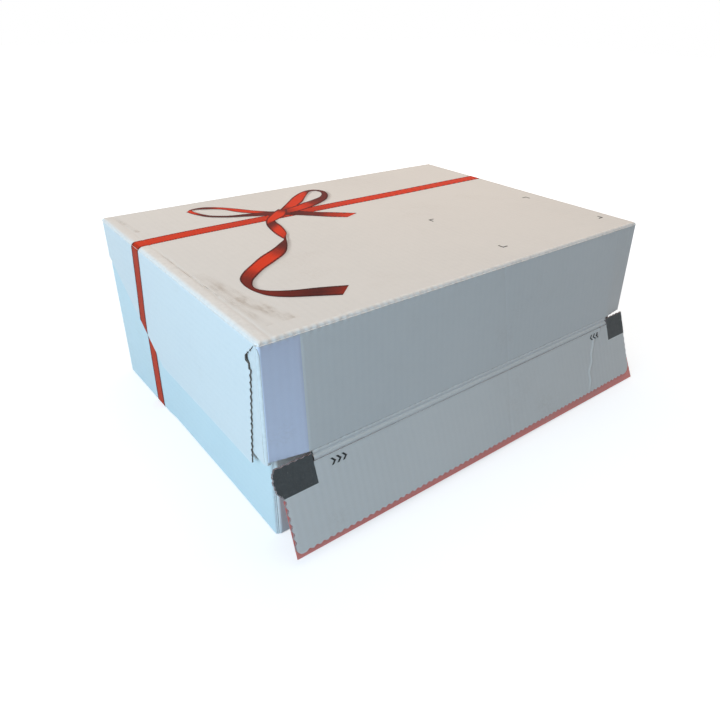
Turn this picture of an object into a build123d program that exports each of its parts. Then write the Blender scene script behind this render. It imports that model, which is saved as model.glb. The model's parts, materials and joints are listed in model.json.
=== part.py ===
"""Gift mailer: a tray of folded corrugated board with a hinged lid and a glued closure flap.

Millimetres. X runs along the length, -Y is the front, +Z is up, and the origin is the middle
of the tray's resting face. The lid is shut and the closure flap hangs a little open.
"""

import os
from math import cos, radians, sin

from build123d import *

os.makedirs("parts", exist_ok=True)

# Overall size, measured on the shut lid
length = 450.0
depth = 328.0
height = 179.0

# Board and its creases
board = 2.8
crease_radius = 1.9
plan_corner_radius = 3.5
fold_gap = 0.3
slide_gap = 0.3

# Wave-cut edges
wave_pitch = 6.4
wave_depth = 1.2
wave_lead = 2.4

# Tray
tray_front_inset = 4.6
corner_relief = 12.0
tab_length = 105.0
tab_taper = 14.0
tab_clearance = 0.6
lock_length = 45.0
lock_spacing = 170.0
lock_clearance = 0.2

# Lid front panel, which bows forward between two upright bends
lid_front_height = 100.7
front_bulge = 5.8
bend_inset = 33.0

# Lid side panels
lid_side_height = 116.0
side_front_setback = 24.4
side_front_lean = 11.4
notch_height = 20.0
notch_rise = 7.0
side_corner_setback = 4.7
side_rear_setback = 13.6
side_rear_height = 52.0
side_rear_run = 111.0
side_corner_radius = 7.0

# Wings behind the lid side panels
wing_length = 73.0
wing_height = 102.0
wing_taper = 12.0
wing_corner_cut = 8.3

# Closure flap
flap_tilt = 20.0
flap_height = 72.5
flap_end_inset = 4.7
flap_left_radius = 5.0
flap_right_radius = 9.5
strip_half_length = 189.5
strip_height = 8.3
slit = 1.4
grip_gap = 1.0
grip_height = 26.0
grip_tab_reach = 5.4
grip_tab_drop = 8.9

# Strips on the inner face of the closure flap
tape_width = 4.0
tape_thickness = 0.2
glue_width = 19.0
glue_thickness = 0.3
glue_edge_inset = 7.0
glue_end_inset = 14.0
liner_thickness = 0.2
liner_top_drop = 28.5
liner_left_overhang = 4.3
liner_right_overhang = 9.2
liner_left_proud = 0.4
liner_right_proud = 7.4

# Faces and levels that several pieces share
half_length = length / 2
front_face = -depth / 2
rear_face = depth / 2
lid_underside = height - board
wing_face = half_length - board
tray_side_face = wing_face - board - slide_gap
tab_face = tray_side_face - board
inner_ply_face = tab_face - board
tray_front_face = front_face + tray_front_inset
tray_front_inside = tray_front_face + board
tray_rear_inside = rear_face - board
tray_middle = (tray_front_inside + tray_rear_inside) / 2
tray_wall_top = lid_underside - fold_gap
rim_underside = tray_wall_top - board
lid_front_bottom = height - lid_front_height
side_bottom = height - lid_side_height

sides = ((-1, "left"), (1, "right"))


def ply_plane(side, outer_face):
    """Return the YZ plane through the lower-X face of an upright ply with this outer face."""
    return Plane.YZ.offset(outer_face - board if side > 0 else -outer_face)


def wave_cut(start, end, lead_in=0.0, lead_out=0.0):
    """Return the points of a wave-cut edge, without its end, dipping to the left of its run."""
    first = Vector(*start)
    along = (Vector(*end) - first).normalized()
    wavy = (Vector(*end) - first).length - lead_in - lead_out
    inward = along.rotate(Axis.Z, 90) * wave_depth
    teeth = max(1, round(wavy / wave_pitch))
    points = [start] if lead_in > 0 else []
    for tooth in range(teeth):
        crest = first + along * (lead_in + wavy * tooth / teeth)
        trough = first + along * (lead_in + wavy * (tooth + 0.5) / teeth) + inward
        points += [(crest.X, crest.Y), (trough.X, trough.Y)]
    if lead_out > 0:
        last = first + along * (lead_in + wavy)
        points.append((last.X, last.Y))
    return points


# Tray: bottom with four slots for the locks of the inner plies
with BuildPart() as bottom_panel:
    with BuildSketch(Plane.XY):
        with Locations((0, tray_middle)):
            Rectangle(2 * tab_face, tray_rear_inside - tray_front_inside)
        with Locations((0, tray_middle)):
            with GridLocations(2 * inner_ply_face - board, lock_spacing, 2, 2):
                Rectangle(
                    board + lock_clearance,
                    lock_length + lock_clearance,
                    mode=Mode.SUBTRACT,
                )
    extrude(amount=board)
bottom_panel.part.label = "bottom_panel"
export_step(bottom_panel.part, "parts/bottom_panel.step")

# Tray: front wall, folded up from the bottom
with BuildPart() as front_wall:
    with BuildSketch(Plane.XZ.offset(-tray_front_face)):
        with Locations((0, tray_wall_top / 2)):
            Rectangle(2 * tab_face, tray_wall_top)
    extrude(amount=-board)
    outside = front_wall.faces().sort_by(Axis.Y)[0]
    fillet(outside.edges().filter_by(Axis.Z), crease_radius)
    fillet(front_wall.faces().sort_by(Axis.Y)[0].edges().sort_by(Axis.Z)[0], crease_radius)
front_wall.part.label = "front_wall"
export_step(front_wall.part, "parts/front_wall.step")

# Tray: rear wall, which carries the lid on its top crease
with BuildPart() as rear_wall:
    with BuildSketch(Plane.XZ.offset(-rear_face)):
        with Locations((0, lid_underside / 2)):
            Rectangle(2 * tab_face, lid_underside)
    extrude(amount=board)
    outside = rear_wall.faces().sort_by(Axis.Y)[-1]
    fillet(outside.edges().filter_by(Axis.Z), crease_radius)
    fillet(rear_wall.faces().sort_by(Axis.Y)[-1].edges().sort_by(Axis.Z)[0], crease_radius)
rear_wall.part.label = "rear_wall"
export_step(rear_wall.part, "parts/rear_wall.step")

# Tray: each side wall is an outer ply, a rim and an inner ply rolled over the corner tabs
for side, name in sides:
    with BuildPart() as outer_ply:
        with BuildSketch(ply_plane(side, tray_side_face)):
            with BuildLine():
                Polyline(
                    (tray_front_face + corner_relief, 0),
                    (rear_face - crease_radius, 0),
                    (rear_face - crease_radius, rim_underside),
                    (tray_front_face + crease_radius, rim_underside),
                    (tray_front_face + crease_radius, corner_relief - crease_radius),
                    close=True,
                )
            make_face()
        extrude(amount=board)
        outside = outer_ply.faces().sort_by(Axis.X)[0 if side < 0 else -1]
        fillet(outside.edges().sort_by(Axis.Z)[0], crease_radius)
    outer_ply.part.label = f"{name}_wall_outer"
    export_step(outer_ply.part, f"parts/{name}_wall_outer.step")

    with BuildPart() as rim:
        with BuildSketch(Plane.XY.offset(rim_underside)):
            with Locations((side * (tray_side_face - 1.5 * board), tray_middle)):
                Rectangle(3 * board, tray_rear_inside - tray_front_inside)
        extrude(amount=board)
        top_edges = rim.faces().sort_by(Axis.Z)[-1].edges()
        fillet(top_edges.filter_by(Axis.Y), crease_radius)
    rim.part.label = f"{name}_wall_rim"
    export_step(rim.part, f"parts/{name}_wall_rim.step")

    with BuildPart() as inner_ply:
        with BuildSketch(ply_plane(side, inner_ply_face)):
            with Locations((tray_middle, (board + rim_underside) / 2)):
                Rectangle(tray_rear_inside - tray_front_inside, rim_underside - board)
            with Locations((tray_middle, board / 2)):
                with GridLocations(lock_spacing, 0, 2, 1):
                    Rectangle(lock_length, board)
        extrude(amount=board)
    inner_ply.part.label = f"{name}_wall_inner"
    export_step(inner_ply.part, f"parts/{name}_wall_inner.step")

    # Corner tabs run back from the front and rear walls, between the two plies
    tab_low = board + tab_clearance
    tab_high = rim_underside - tab_clearance
    for root, direction, end in (
        (tray_front_inside, 1, "front"),
        (tray_rear_inside, -1, "rear"),
    ):
        tip = root + direction * tab_length
        with BuildPart() as corner_tab:
            with BuildSketch(ply_plane(side, tab_face)):
                with BuildLine():
                    Polyline(
                        (root, tab_low),
                        (tip, tab_low + tab_taper),
                        (tip, tab_high - tab_taper),
                        (root, tab_high),
                        close=True,
                    )
                make_face()
            extrude(amount=board)
        corner_tab.part.label = f"{end}_{name}_tab"
        export_step(corner_tab.part, f"parts/{end}_{name}_tab.step")

# Lid: top panel with its rolled creases
with BuildPart() as lid_top:
    with BuildSketch(Plane.XY.offset(lid_underside)):
        RectangleRounded(length, depth, plan_corner_radius)
    extrude(amount=board)
    fillet(lid_top.faces().sort_by(Axis.Z)[-1].edges(), crease_radius)
lid_top.part.label = "lid_top"
export_step(lid_top.part, "parts/lid_top.step")

# Lid: front panel, square at its ends and bowed forward between the bends
bend = half_length - bend_inset
with BuildPart() as lid_front_panel:
    for station, bulge in (
        (-wing_face, 0),
        (-bend, front_bulge),
        (bend, front_bulge),
        (wing_face, 0),
    ):
        with BuildSketch(Plane.YZ.offset(station)):
            with BuildLine():
                Polyline(
                    (front_face, lid_underside),
                    (front_face - bulge, lid_front_bottom),
                    (front_face - bulge + board, lid_front_bottom),
                    (front_face + board, lid_underside),
                    close=True,
                )
            make_face()
    loft(ruled=True)
lid_front_panel.part.label = "lid_front_panel"
export_step(lid_front_panel.part, "parts/lid_front_panel.step")

# Lid: side panels with a wave-cut front edge, glued over the wings of the front panel
side_front = front_face + side_front_setback
notch_tip = lid_underside - notch_height
side_rear = rear_face - side_rear_setback
for side, name in sides:
    with BuildPart() as side_panel:
        with BuildSketch(ply_plane(side, half_length)):
            with BuildLine():
                Polyline(
                    (side_front, side_bottom),
                    (side_rear - side_rear_run, side_bottom),
                    (side_rear, lid_underside - side_rear_height),
                    (side_rear, lid_underside),
                    (front_face + side_corner_setback, lid_underside),
                    (side_front, notch_tip + notch_rise / 2),
                    *wave_cut(
                        (side_front - side_front_lean, notch_tip - notch_rise / 2),
                        (side_front, side_bottom),
                        lead_out=side_corner_radius + wave_lead,
                    ),
                    close=True,
                )
            make_face()
        extrude(amount=board)
        bottom_corners = side_panel.edges().filter_by(Axis.X).group_by(Axis.Z)[0]
        fillet(bottom_corners, side_corner_radius)
        rear_corners = side_panel.edges().filter_by(Axis.X).group_by(Axis.Y)[-1]
        fillet(rear_corners.sort_by(Axis.Z)[0], side_corner_radius)
    side_panel.part.label = f"lid_{name}_panel"
    export_step(side_panel.part, f"parts/lid_{name}_panel.step")

    wing_front = front_face + board
    wing_rear = front_face + wing_length
    wing_bottom = height - wing_height
    with BuildPart() as wing:
        with BuildSketch(ply_plane(side, wing_face)):
            with BuildLine():
                Polyline(
                    (wing_front, wing_bottom),
                    (wing_rear, wing_bottom + wing_taper),
                    (wing_rear, lid_underside - wing_taper),
                    (wing_rear - wing_taper, lid_underside),
                    (wing_front + wing_corner_cut, lid_underside),
                    (wing_front, lid_underside - wing_corner_cut),
                    close=True,
                )
            make_face()
        extrude(amount=board)
    wing.part.label = f"lid_{name}_wing"
    export_step(wing.part, f"parts/lid_{name}_wing.step")

# Closure flap: drawn on its outer face, X along the box and Y up the flap from the hinge
hinge_y = front_face - front_bulge
tilt = radians(flap_tilt)
flap_plane = Plane(
    origin=(0, hinge_y, lid_front_bottom),
    x_dir=(1, 0, 0),
    z_dir=(0, -cos(tilt), sin(tilt)),
)
inner_plane = flap_plane.offset(-board)
glue_plane = inner_plane.offset(-glue_thickness)
flap_end = half_length - flap_end_inset
grip_end = strip_half_length + grip_gap

left_lead = flap_left_radius + wave_lead
right_lead = flap_right_radius + wave_lead
grip_tab = (-flap_end - grip_tab_reach, -grip_tab_drop)
grip_heel = (-flap_end, -grip_height)
left_corner = (-flap_end, -flap_height)
right_corner = (flap_end, -flap_height)
right_top = (flap_end, -slit)

with BuildPart() as closure_flap:
    with BuildSketch(flap_plane) as flap_outline:
        with BuildLine():
            Polyline(
                *wave_cut(grip_tab, grip_heel),
                *wave_cut(grip_heel, left_corner, lead_out=left_lead),
                *wave_cut(left_corner, right_corner, left_lead, right_lead),
                *wave_cut(right_corner, right_top, right_lead, wave_lead),
                *wave_cut(right_top, (grip_end, -slit)),
                (grip_end, -slit),
                (grip_end, -strip_height),
                (-grip_end, -strip_height),
                *wave_cut((-grip_end, -slit), (-flap_end, -slit)),
                (-flap_end, -slit),
                close=True,
            )
        make_face()
        lower = flap_outline.vertices().group_by(Axis.Y)[0]
        fillet(lower.sort_by(Axis.X)[0], flap_left_radius)
        lower = flap_outline.vertices().group_by(Axis.Y)[0]
        fillet(lower.sort_by(Axis.X)[-1], flap_right_radius)
    extrude(amount=-board)
closure_flap.part.label = "closure_flap"
export_step(closure_flap.part, "parts/closure_flap.step")

# Tear strip between the hinge crease and the flap, with the tape that tears it
strip_top = fold_gap
with BuildPart() as tear_strip:
    with BuildSketch(flap_plane):
        with Locations((0, -(strip_top + strip_height) / 2)):
            Rectangle(2 * strip_half_length, strip_height - strip_top)
    extrude(amount=-board)
tear_strip.part.label = "tear_strip"
export_step(tear_strip.part, "parts/tear_strip.step")

with BuildPart() as tear_tape:
    with BuildSketch(inner_plane):
        with Locations((0, -(strip_top + strip_height) / 2)):
            Rectangle(2 * strip_half_length, tape_width)
    extrude(amount=-tape_thickness)
tear_tape.part.label = "tear_tape"
export_step(tear_tape.part, "parts/tear_tape.step")

# Glue strip near the lower edge, under its release liner
with BuildPart() as glue_strip:
    with BuildSketch(inner_plane):
        with Locations((0, -flap_height + glue_edge_inset + glue_width / 2)):
            Rectangle(2 * (flap_end - glue_end_inset), glue_width)
    extrude(amount=-glue_thickness)
glue_strip.part.label = "glue_strip"
export_step(glue_strip.part, "parts/glue_strip.step")

with BuildPart() as release_liner:
    with BuildSketch(glue_plane):
        with BuildLine():
            Polyline(
                (-flap_end, -liner_top_drop),
                (-flap_end - liner_left_proud, -flap_height - liner_left_overhang),
                (flap_end + liner_right_proud, -flap_height - liner_right_overhang),
                (flap_end, -liner_top_drop),
                close=True,
            )
        make_face()
    extrude(amount=-liner_thickness)
release_liner.part.label = "release_liner"
export_step(release_liner.part, "parts/release_liner.step")
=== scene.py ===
"""Looks, light and camera for a gift mailer of white-faced corrugated board.

Every panel between two creases is one piece: a fine sheet with its washboard relief, its rolled
creases and its wave-cut edges, in the place of the plain plate that carries it. The ribbon and bow
are printed on, so they are thin films of ink that follow the panels. Lengths are metres.
"""

import json
import logging
import math
from dataclasses import dataclass, field, replace
from enum import Enum
from typing import Callable

import bmesh
import bpy
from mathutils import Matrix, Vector, noise


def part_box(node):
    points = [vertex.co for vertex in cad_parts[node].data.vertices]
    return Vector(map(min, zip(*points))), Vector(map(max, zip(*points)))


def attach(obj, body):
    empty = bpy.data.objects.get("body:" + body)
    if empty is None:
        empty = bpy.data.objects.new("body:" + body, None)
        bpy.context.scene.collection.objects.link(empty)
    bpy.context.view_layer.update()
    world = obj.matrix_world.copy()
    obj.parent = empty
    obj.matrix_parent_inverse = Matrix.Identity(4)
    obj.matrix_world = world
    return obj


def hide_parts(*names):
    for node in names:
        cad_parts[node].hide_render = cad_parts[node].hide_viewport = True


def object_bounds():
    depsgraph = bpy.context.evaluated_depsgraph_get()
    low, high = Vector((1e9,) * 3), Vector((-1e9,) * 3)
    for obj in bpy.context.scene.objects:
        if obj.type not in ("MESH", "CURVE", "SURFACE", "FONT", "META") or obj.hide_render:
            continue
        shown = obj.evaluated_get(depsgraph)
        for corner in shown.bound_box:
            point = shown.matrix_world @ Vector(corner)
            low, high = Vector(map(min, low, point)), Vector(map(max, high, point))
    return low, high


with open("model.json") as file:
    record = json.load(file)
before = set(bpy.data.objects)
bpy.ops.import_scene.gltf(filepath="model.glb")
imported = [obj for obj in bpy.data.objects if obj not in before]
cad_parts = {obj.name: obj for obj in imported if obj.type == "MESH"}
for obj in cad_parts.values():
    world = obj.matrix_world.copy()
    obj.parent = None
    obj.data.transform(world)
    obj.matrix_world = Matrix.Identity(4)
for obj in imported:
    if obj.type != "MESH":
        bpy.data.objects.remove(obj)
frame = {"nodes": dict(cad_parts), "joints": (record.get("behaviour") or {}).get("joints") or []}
CAD_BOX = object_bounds()

log = logging.getLogger("gift_mailer")

MM = 0.001
FLUTE_PITCH = 6.37 * MM
WAVE_DEPTH = 1.5 * MM
WAVE_REACH = 5 * MM  # how far into the board the wave cut pushes the sheet's rows
RIDGE_SIDE = 5.0 * MM  # radius of the soft ridge at the lid's left
RIDGE_RIGHT = 2.8 * MM
RIDGE_FRONT = 3.6 * MM  # radius of the ridge at the lid's front
LEAST_RIM = 0.15 * MM
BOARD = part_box("lid_top")[1].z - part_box("lid_top")[0].z
SKIN = 0.25 * MM  # how far the board's face lies inside the plain plate's face, room for the ink
INK = 0.04 * MM  # one layer of ink

LID_STEP = 1.06 * MM  # between the rows across the flutes of the lid and the flap
TRAY_STEP = 1.1 * MM  # the same for the tray and the wings
LID_REAR = 0.159  # Y of the rear end of a lid side panel
STRIP_HEIGHT = 8.3 * MM  # of the tear strip, below the hinge
SLIT = 1.4 * MM  # between the hinge and the flap's two ears
EAR = 0.1905  # where an ear and its dark square start
SQUARE_LOW = -26 * MM
WHITE = (1.0, 1.0, 1.0, 1.0)
HAIR = 0.05 * MM  # the least height or distance that counts
END_ROWS = (0.35, 0.8, 1.3, 1.9, 2.5, 2.95, 3.6, 4.3, 5.0)  # millimetres from a sheet's ends
FILM_STEP = 1.6  # millimetres between the rows along a film of ink

Point = tuple[float, float]
Point3 = tuple[float, float, float]
Rows = tuple[tuple[float, ...], ...]
Socket = bpy.types.NodeSocket
Value = Socket | float | tuple[float, ...]


class Zone(Enum):
    """Where a face of a sheet lies, which is also its material slot."""

    OUTSIDE = 0
    INSIDE = 1
    EDGE = 2
    PATCH = 3


class Flutes(Enum):
    """Which way across a sheet its flutes are counted."""

    ALONG_U = 0
    ALONG_V = 1


def smooth(low: float, high: float, value: float) -> float:
    """Return how far value has come from low to high, eased at both ends."""
    t = min(1.0, max(0.0, (value - low) / (high - low)))
    return t * t * (3 - 2 * t)


def ridge(value: float, middle: float, width: float) -> float:
    """Return a rounded bump of height 1 at middle that is gone a width away."""
    return 1 - smooth(0.0, width, abs(value - middle))


def stations(low: float, high: float, step: float, marks: tuple[float, ...] = ()) -> list[float]:
    """Return positions for a sheet's rows.

    Args:
        low: first position.
        high: last position.
        step: spacing between the two ends.
        marks: positions that need a row of their own.

    Returns:
        The positions in order, packed at the two ends and never closer than 0.1 mm.
    """
    count = max(2, round((high - low) / step))
    places = [low + (high - low) * i / count for i in range(count + 1)]
    for close in END_ROWS:
        places += [low + close * MM, high - close * MM]
    keep = [low, high, *marks]
    for place in places:
        if low < place < high and all(abs(place - other) > 0.1 * MM for other in keep):
            keep.append(place)
    return sorted(keep)


def add_object(name: str, bm: bmesh.types.BMesh, materials: list) -> bpy.types.Object:
    """Put a bmesh into the scene as an object with its materials, and free the bmesh.

    Args:
        name: name of the object and its mesh.
        bm: the bmesh, which is used up.
        materials: its materials, in the order of their slots.

    Returns:
        The object.
    """
    mesh = bpy.data.meshes.new(name)
    bm.to_mesh(mesh)
    bm.free()
    for material in materials:
        mesh.materials.append(material)
    piece = bpy.data.objects.new(name, mesh)
    bpy.context.scene.collection.objects.link(piece)
    return piece


# ---------------------------------------------------------------- shader nodes


class Shader:
    """Adds and links nodes in one node tree."""

    def __init__(self, tree: bpy.types.NodeTree) -> None:
        """Keep the tree that the nodes go into."""
        self.tree = tree

    def add(self, kind: str, sockets: dict | None = None, **settings) -> bpy.types.Node:
        """Add a node.

        Args:
            kind: the node's type, without its ShaderNode prefix.
            sockets: values or output sockets for its inputs, by name or index.
            **settings: attributes of the node.

        Returns:
            The new node.
        """
        node = self.tree.nodes.new(kind if kind.startswith("Node") else "ShaderNode" + kind)
        for name, value in settings.items():
            setattr(node, name, value)
        self.plug(node, sockets or {})
        return node

    def plug(self, node: bpy.types.Node, sockets: dict) -> None:
        """Link a node's inputs to output sockets, or set them to plain values.

        Args:
            node: the node.
            sockets: values or output sockets, by name or index.
        """
        for name, value in sockets.items():
            if isinstance(value, bpy.types.NodeSocket):
                self.tree.links.new(value, node.inputs[name])
            else:
                node.inputs[name].default_value = value

    def math(self, operation: str, *values: Value) -> Socket:
        """Return the result of a Math node on the values."""
        return self.add("Math", dict(enumerate(values)), operation=operation).outputs[0]

    def noise(
        self, vector: Socket, scale: float, detail: float = 3.0, rough: float = 0.5
    ) -> Socket:
        """Return the factor of a noise texture on a vector."""
        sockets = {"Vector": vector, "Scale": scale, "Detail": detail, "Roughness": rough}
        return self.add("TexNoise", sockets).outputs[0]

    def span(
        self, value: Socket, low: float, high: float, to_low: float = 0.0, to_high: float = 1.0
    ) -> Socket:
        """Return a value carried from one span to another, held at its ends and eased.

        Args:
            value: the value.
            low: the first span's low end.
            high: the first span's high end.
            to_low: what the low end becomes.
            to_high: what the high end becomes.

        Returns:
            The value in its new span, eased.
        """
        sockets = {0: value, 1: low, 2: high, 3: to_low, 4: to_high}
        node = self.add("MapRange", sockets, interpolation_type="SMOOTHSTEP")
        return node.outputs[0]

    def blend(self, factor: Socket, first: Value, second: Value) -> Socket:
        """Return a colour blended from first to second."""
        node = self.add("Mix", {0: factor, 6: first, 7: second}, data_type="RGBA")
        return node.outputs[2]

    def stretch(self, vector: Socket, scale: Point3, turn: float = 0.0) -> Socket:
        """Return a vector scaled, and turned about its third axis."""
        sockets = {"Vector": vector, "Scale": scale, "Rotation": (0.0, 0.0, turn)}
        return self.add("Mapping", sockets).outputs[0]


def node_group(
    name: str, inputs: dict[str, tuple], outputs: tuple[str, ...]
) -> tuple[Shader, bpy.types.Node, bpy.types.Node]:
    """Start a shader node group.

    Args:
        name: the group's name.
        inputs: for each input its socket type and its starting value.
        outputs: names of its float outputs.

    Returns:
        The group's shader helper, its input node and its output node.
    """
    tree = bpy.data.node_groups.new(name, "ShaderNodeTree")
    for label, (kind, value) in inputs.items():
        socket = tree.interface.new_socket(label, in_out="INPUT", socket_type="NodeSocket" + kind)
        if value is not None:
            socket.default_value = value
    for label in outputs:
        tree.interface.new_socket(label, in_out="OUTPUT", socket_type="NodeSocketFloat")
    shader = Shader(tree)
    return shader, shader.add("NodeGroupInput"), shader.add("NodeGroupOutput")


def paper_grain_group() -> bpy.types.NodeTree:
    """Return the group for paper: fibres, mottle and broad clouds of tone."""
    s, given, out = node_group(
        "paper_grain", {"Vector": ("Vector", None), "Fibre": ("Float", 1.0)}, ("Tone", "Height")
    )
    fibre = s.noise(s.stretch(given.outputs[0], (900.0, 340.0, 900.0)), 1.0, 4.0, 0.6)
    mottle = s.noise(given.outputs[0], 160.0, 4.0, 0.6)
    cloud = s.noise(given.outputs[0], 9.0, 2.0, 0.5)
    fine = s.math("MULTIPLY", s.math("SUBTRACT", fibre, 0.5), given.outputs["Fibre"])
    tone = s.math("ADD", s.math("MULTIPLY", fine, 0.5), s.math("MULTIPLY", mottle, 0.4))
    tone = s.math("MULTIPLY_ADD", cloud, 0.5, tone)
    s.plug(out, {"Tone": tone, "Height": s.math("MULTIPLY_ADD", mottle, 0.4, fine)})
    return s.tree


def flute_group() -> bpy.types.NodeTree:
    """Return the group for the flutes that show through a liner, counted along U."""
    s, given, out = node_group(
        "flute_lines", {"UV": ("Vector", None), "Waver": ("Float", 0.12)}, ("Tone", "Height")
    )
    parts = s.add("SeparateXYZ", {0: given.outputs[0]})
    slow = s.noise(s.stretch(given.outputs[0], (0.15, 0.05, 1.0)), 1.0, 2.0)
    shift = s.math("MULTIPLY", s.math("SUBTRACT", slow, 0.5), given.outputs["Waver"])
    turn = s.math("MULTIPLY", s.math("ADD", parts.outputs[0], shift), math.tau)
    wave = s.math("MULTIPLY_ADD", s.math("COSINE", turn), 0.5, 0.5)
    strength = s.noise(s.stretch(given.outputs[0], (0.5, 0.03, 1.0)), 1.0, 2.0)
    tone = s.math("MULTIPLY", wave, s.span(strength, 0.2, 0.8, 0.5, 1.0))
    s.plug(out, {"Tone": tone, "Height": wave})
    return s.tree


def scuff_group() -> bpy.types.NodeTree:
    """Return the group for handling marks: long scratches and rubbed, dirty patches."""
    s, given, out = node_group(
        "handling_marks",
        {"Vector": ("Vector", None), "Amount": ("Float", 0.5)},
        ("Scratch", "Smudge"),
    )
    patch = s.noise(given.outputs[0], 14.0, 3.0, 0.55)
    speckle = s.noise(given.outputs[0], 420.0, 3.0, 0.7)
    thin = s.noise(s.stretch(given.outputs[0], (30.0, 900.0, 900.0), 0.5), 1.0, 2.0)
    scratch = s.math("MULTIPLY", s.span(thin, 0.70, 0.78), s.span(patch, 0.52, 0.62))
    smudge = s.math("MULTIPLY", s.span(patch, 0.56, 0.74), s.span(speckle, 0.35, 0.7))
    for label, mark in (("Scratch", scratch), ("Smudge", smudge)):
        s.plug(out, {label: s.math("MULTIPLY", mark, given.outputs["Amount"])})
    return s.tree


@dataclass
class EffectGroups:
    """The node groups that several finishes share."""

    grain: bpy.types.NodeTree = field(default_factory=paper_grain_group)
    flutes: bpy.types.NodeTree = field(default_factory=flute_group)
    scuffs: bpy.types.NodeTree = field(default_factory=scuff_group)


class Surface(Shader):
    """The nodes of one new material, with its coordinates and its paper grain."""

    def __init__(self, name: str, groups: EffectGroups | None = None, fibre: float = 1.0) -> None:
        """Start the material.

        Args:
            name: the material's name.
            groups: the shared effects, or None for a surface that isn't paper.
            fibre: how strong the fibres of the grain are.
        """
        self.material = bpy.data.materials.new(name)
        self.material.use_nodes = True
        super().__init__(self.material.node_tree)
        self.skin = self.tree.nodes["Principled BSDF"]
        self.place = self.add("TexCoord").outputs
        self.groups = groups
        if groups:
            grain = self.effect(groups.grain, {"Vector": self.place["Object"], "Fibre": fibre})
            self.tone, self.height = grain["Tone"], grain["Height"]

    def effect(self, group: bpy.types.NodeTree, sockets: dict) -> dict[str, Socket]:
        """Put a group into the material, set its inputs and return its outputs."""
        outputs = self.add("Group", sockets, node_tree=group).outputs
        return {output.name: output for output in outputs}

    def marks(self, amount: float) -> dict[str, Socket]:
        """Return the masks for handling marks: Scratch and Smudge."""
        sockets = {"Vector": self.place["Object"], "Amount": amount}
        return self.effect(self.groups.scuffs, sockets)

    def attribute(self, name: str) -> Socket:
        """Return a number that the mesh's points carry."""
        return self.add("Attribute", attribute_name=name).outputs["Fac"]

    def uv(self) -> tuple[Socket, Socket]:
        """Return the sheet's own U and V."""
        return tuple(self.add("SeparateXYZ", {0: self.place["UV"]}).outputs[:2])

    def finish(self, sockets: dict) -> bpy.types.Material:
        """Feed the Principled BSDF and return the material."""
        self.plug(self.skin, sockets)
        return self.material

    def bump(self, height: Socket, strength: float, distance: float) -> Socket:
        """Return a normal bent by a height, with the distance in millimetres."""
        sockets = {"Height": height, "Strength": strength, "Distance": distance * MM}
        return self.add("Bump", sockets).outputs[0]


Colour = tuple[float, float, float, float]


@dataclass(frozen=True)
class BoardFinish:
    """A liner of corrugated board: clay-coated white, or bare brown."""

    name: str
    light: Colour
    dark: Colour
    dirt: Colour = (0.42, 0.33, 0.26, 1.0)
    # colour of rubbed wear, and of the painted highlight on the lid's ridges
    wear_and_highlight: Colour = (0.90, 0.89, 0.88, 1.0)
    flute_tone: float = 0.12
    flute_height: float = 0.10
    scuffs: float = 0.2
    roughness: float = 0.52
    fibre: float = 0.6

    def build(self, groups: EffectGroups) -> bpy.types.Material:
        """Return the material.

        Args:
            groups: the node groups that the finishes share.

        Returns:
            The material.
        """
        s = Surface(self.name, groups, self.fibre)
        flutes = s.effect(groups.flutes, {"UV": s.place["UV"]})
        marks = s.marks(self.scuffs)
        tone = s.math("MULTIPLY_ADD", flutes["Tone"], self.flute_tone, -0.15)
        tone = s.span(s.math("ADD", s.tone, tone), 0.1, 1.2)
        colour = s.blend(tone, self.light, self.dark)
        colour = s.blend(s.math("MULTIPLY", marks["Smudge"], 0.6), colour, self.dirt)
        colour = s.blend(s.math("MULTIPLY", marks["Scratch"], 0.5), colour, self.wear_and_highlight)
        # Rubbed edges and creases lighten the colour; on the lid's front and left ridges the same
        # mask is a painted highlight.
        patchy = s.span(s.noise(s.place["Object"], 260.0, 3.0, 0.6), 0.28, 0.66)
        wear_and_highlight_mask = s.math("MULTIPLY", s.attribute("wear_and_highlight"), patchy)
        gloss = s.math("MULTIPLY_ADD", s.tone, 0.12, self.roughness - 0.06)
        height = s.math("MULTIPLY", flutes["Height"], self.flute_height)
        height = s.math("MULTIPLY_ADD", s.height, 0.35, height)
        return s.finish(
            {
                "Base Color": s.blend(wear_and_highlight_mask, colour, self.wear_and_highlight),
                "Roughness": s.math("MULTIPLY_ADD", wear_and_highlight_mask, 0.2, gloss),
                "Specular IOR Level": 0.15,
                "Normal": s.bump(height, 0.35, 0.15),
            }
        )


@dataclass(frozen=True)
class CutEdgeFinish:
    """The cut edge of the board: two liners with the fluting between them."""

    name: str
    # The liner rims are greyer than the paper: partly the edge's own colour, partly painted shade.
    liner: Colour = (0.46, 0.42, 0.39, 1.0)
    fluting: Colour = (0.27, 0.22, 0.175, 1.0)
    # painted shade in the open hollows between the flutes
    hollow_shade: Colour = (0.060, 0.048, 0.040, 1.0)

    def build(self, groups: EffectGroups) -> bpy.types.Material:
        """Return the material. U counts flutes and V runs from the outside to the inside.

        Args:
            groups: the node groups that the finishes share.

        Returns:
            The material.
        """
        s = Surface(self.name, groups)
        count, depth = s.uv()
        crushed = s.noise(s.place["Object"], 130.0, 3.0)
        turn = s.math("MULTIPLY_ADD", count, math.tau, s.math("MULTIPLY", crushed, 1.6))
        wave = s.math("MULTIPLY_ADD", s.math("SINE", turn), 0.33, 0.5)
        web = s.span(s.math("ABSOLUTE", s.math("SUBTRACT", depth, wave)), 0.09, 0.17, 1.0, 0.0)
        rim = s.span(s.math("ABSOLUTE", s.math("SUBTRACT", depth, 0.5)), 0.34, 0.4)
        colour = s.blend(rim, s.blend(web, self.hollow_shade, self.fluting), self.liner)
        return s.finish(
            {
                "Base Color": s.blend(s.math("MULTIPLY", s.tone, 0.3), colour, self.fluting),
                "Roughness": 0.85,
                "Normal": s.bump(s.math("MAXIMUM", web, rim), 0.8, 0.6),
            }
        )


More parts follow.
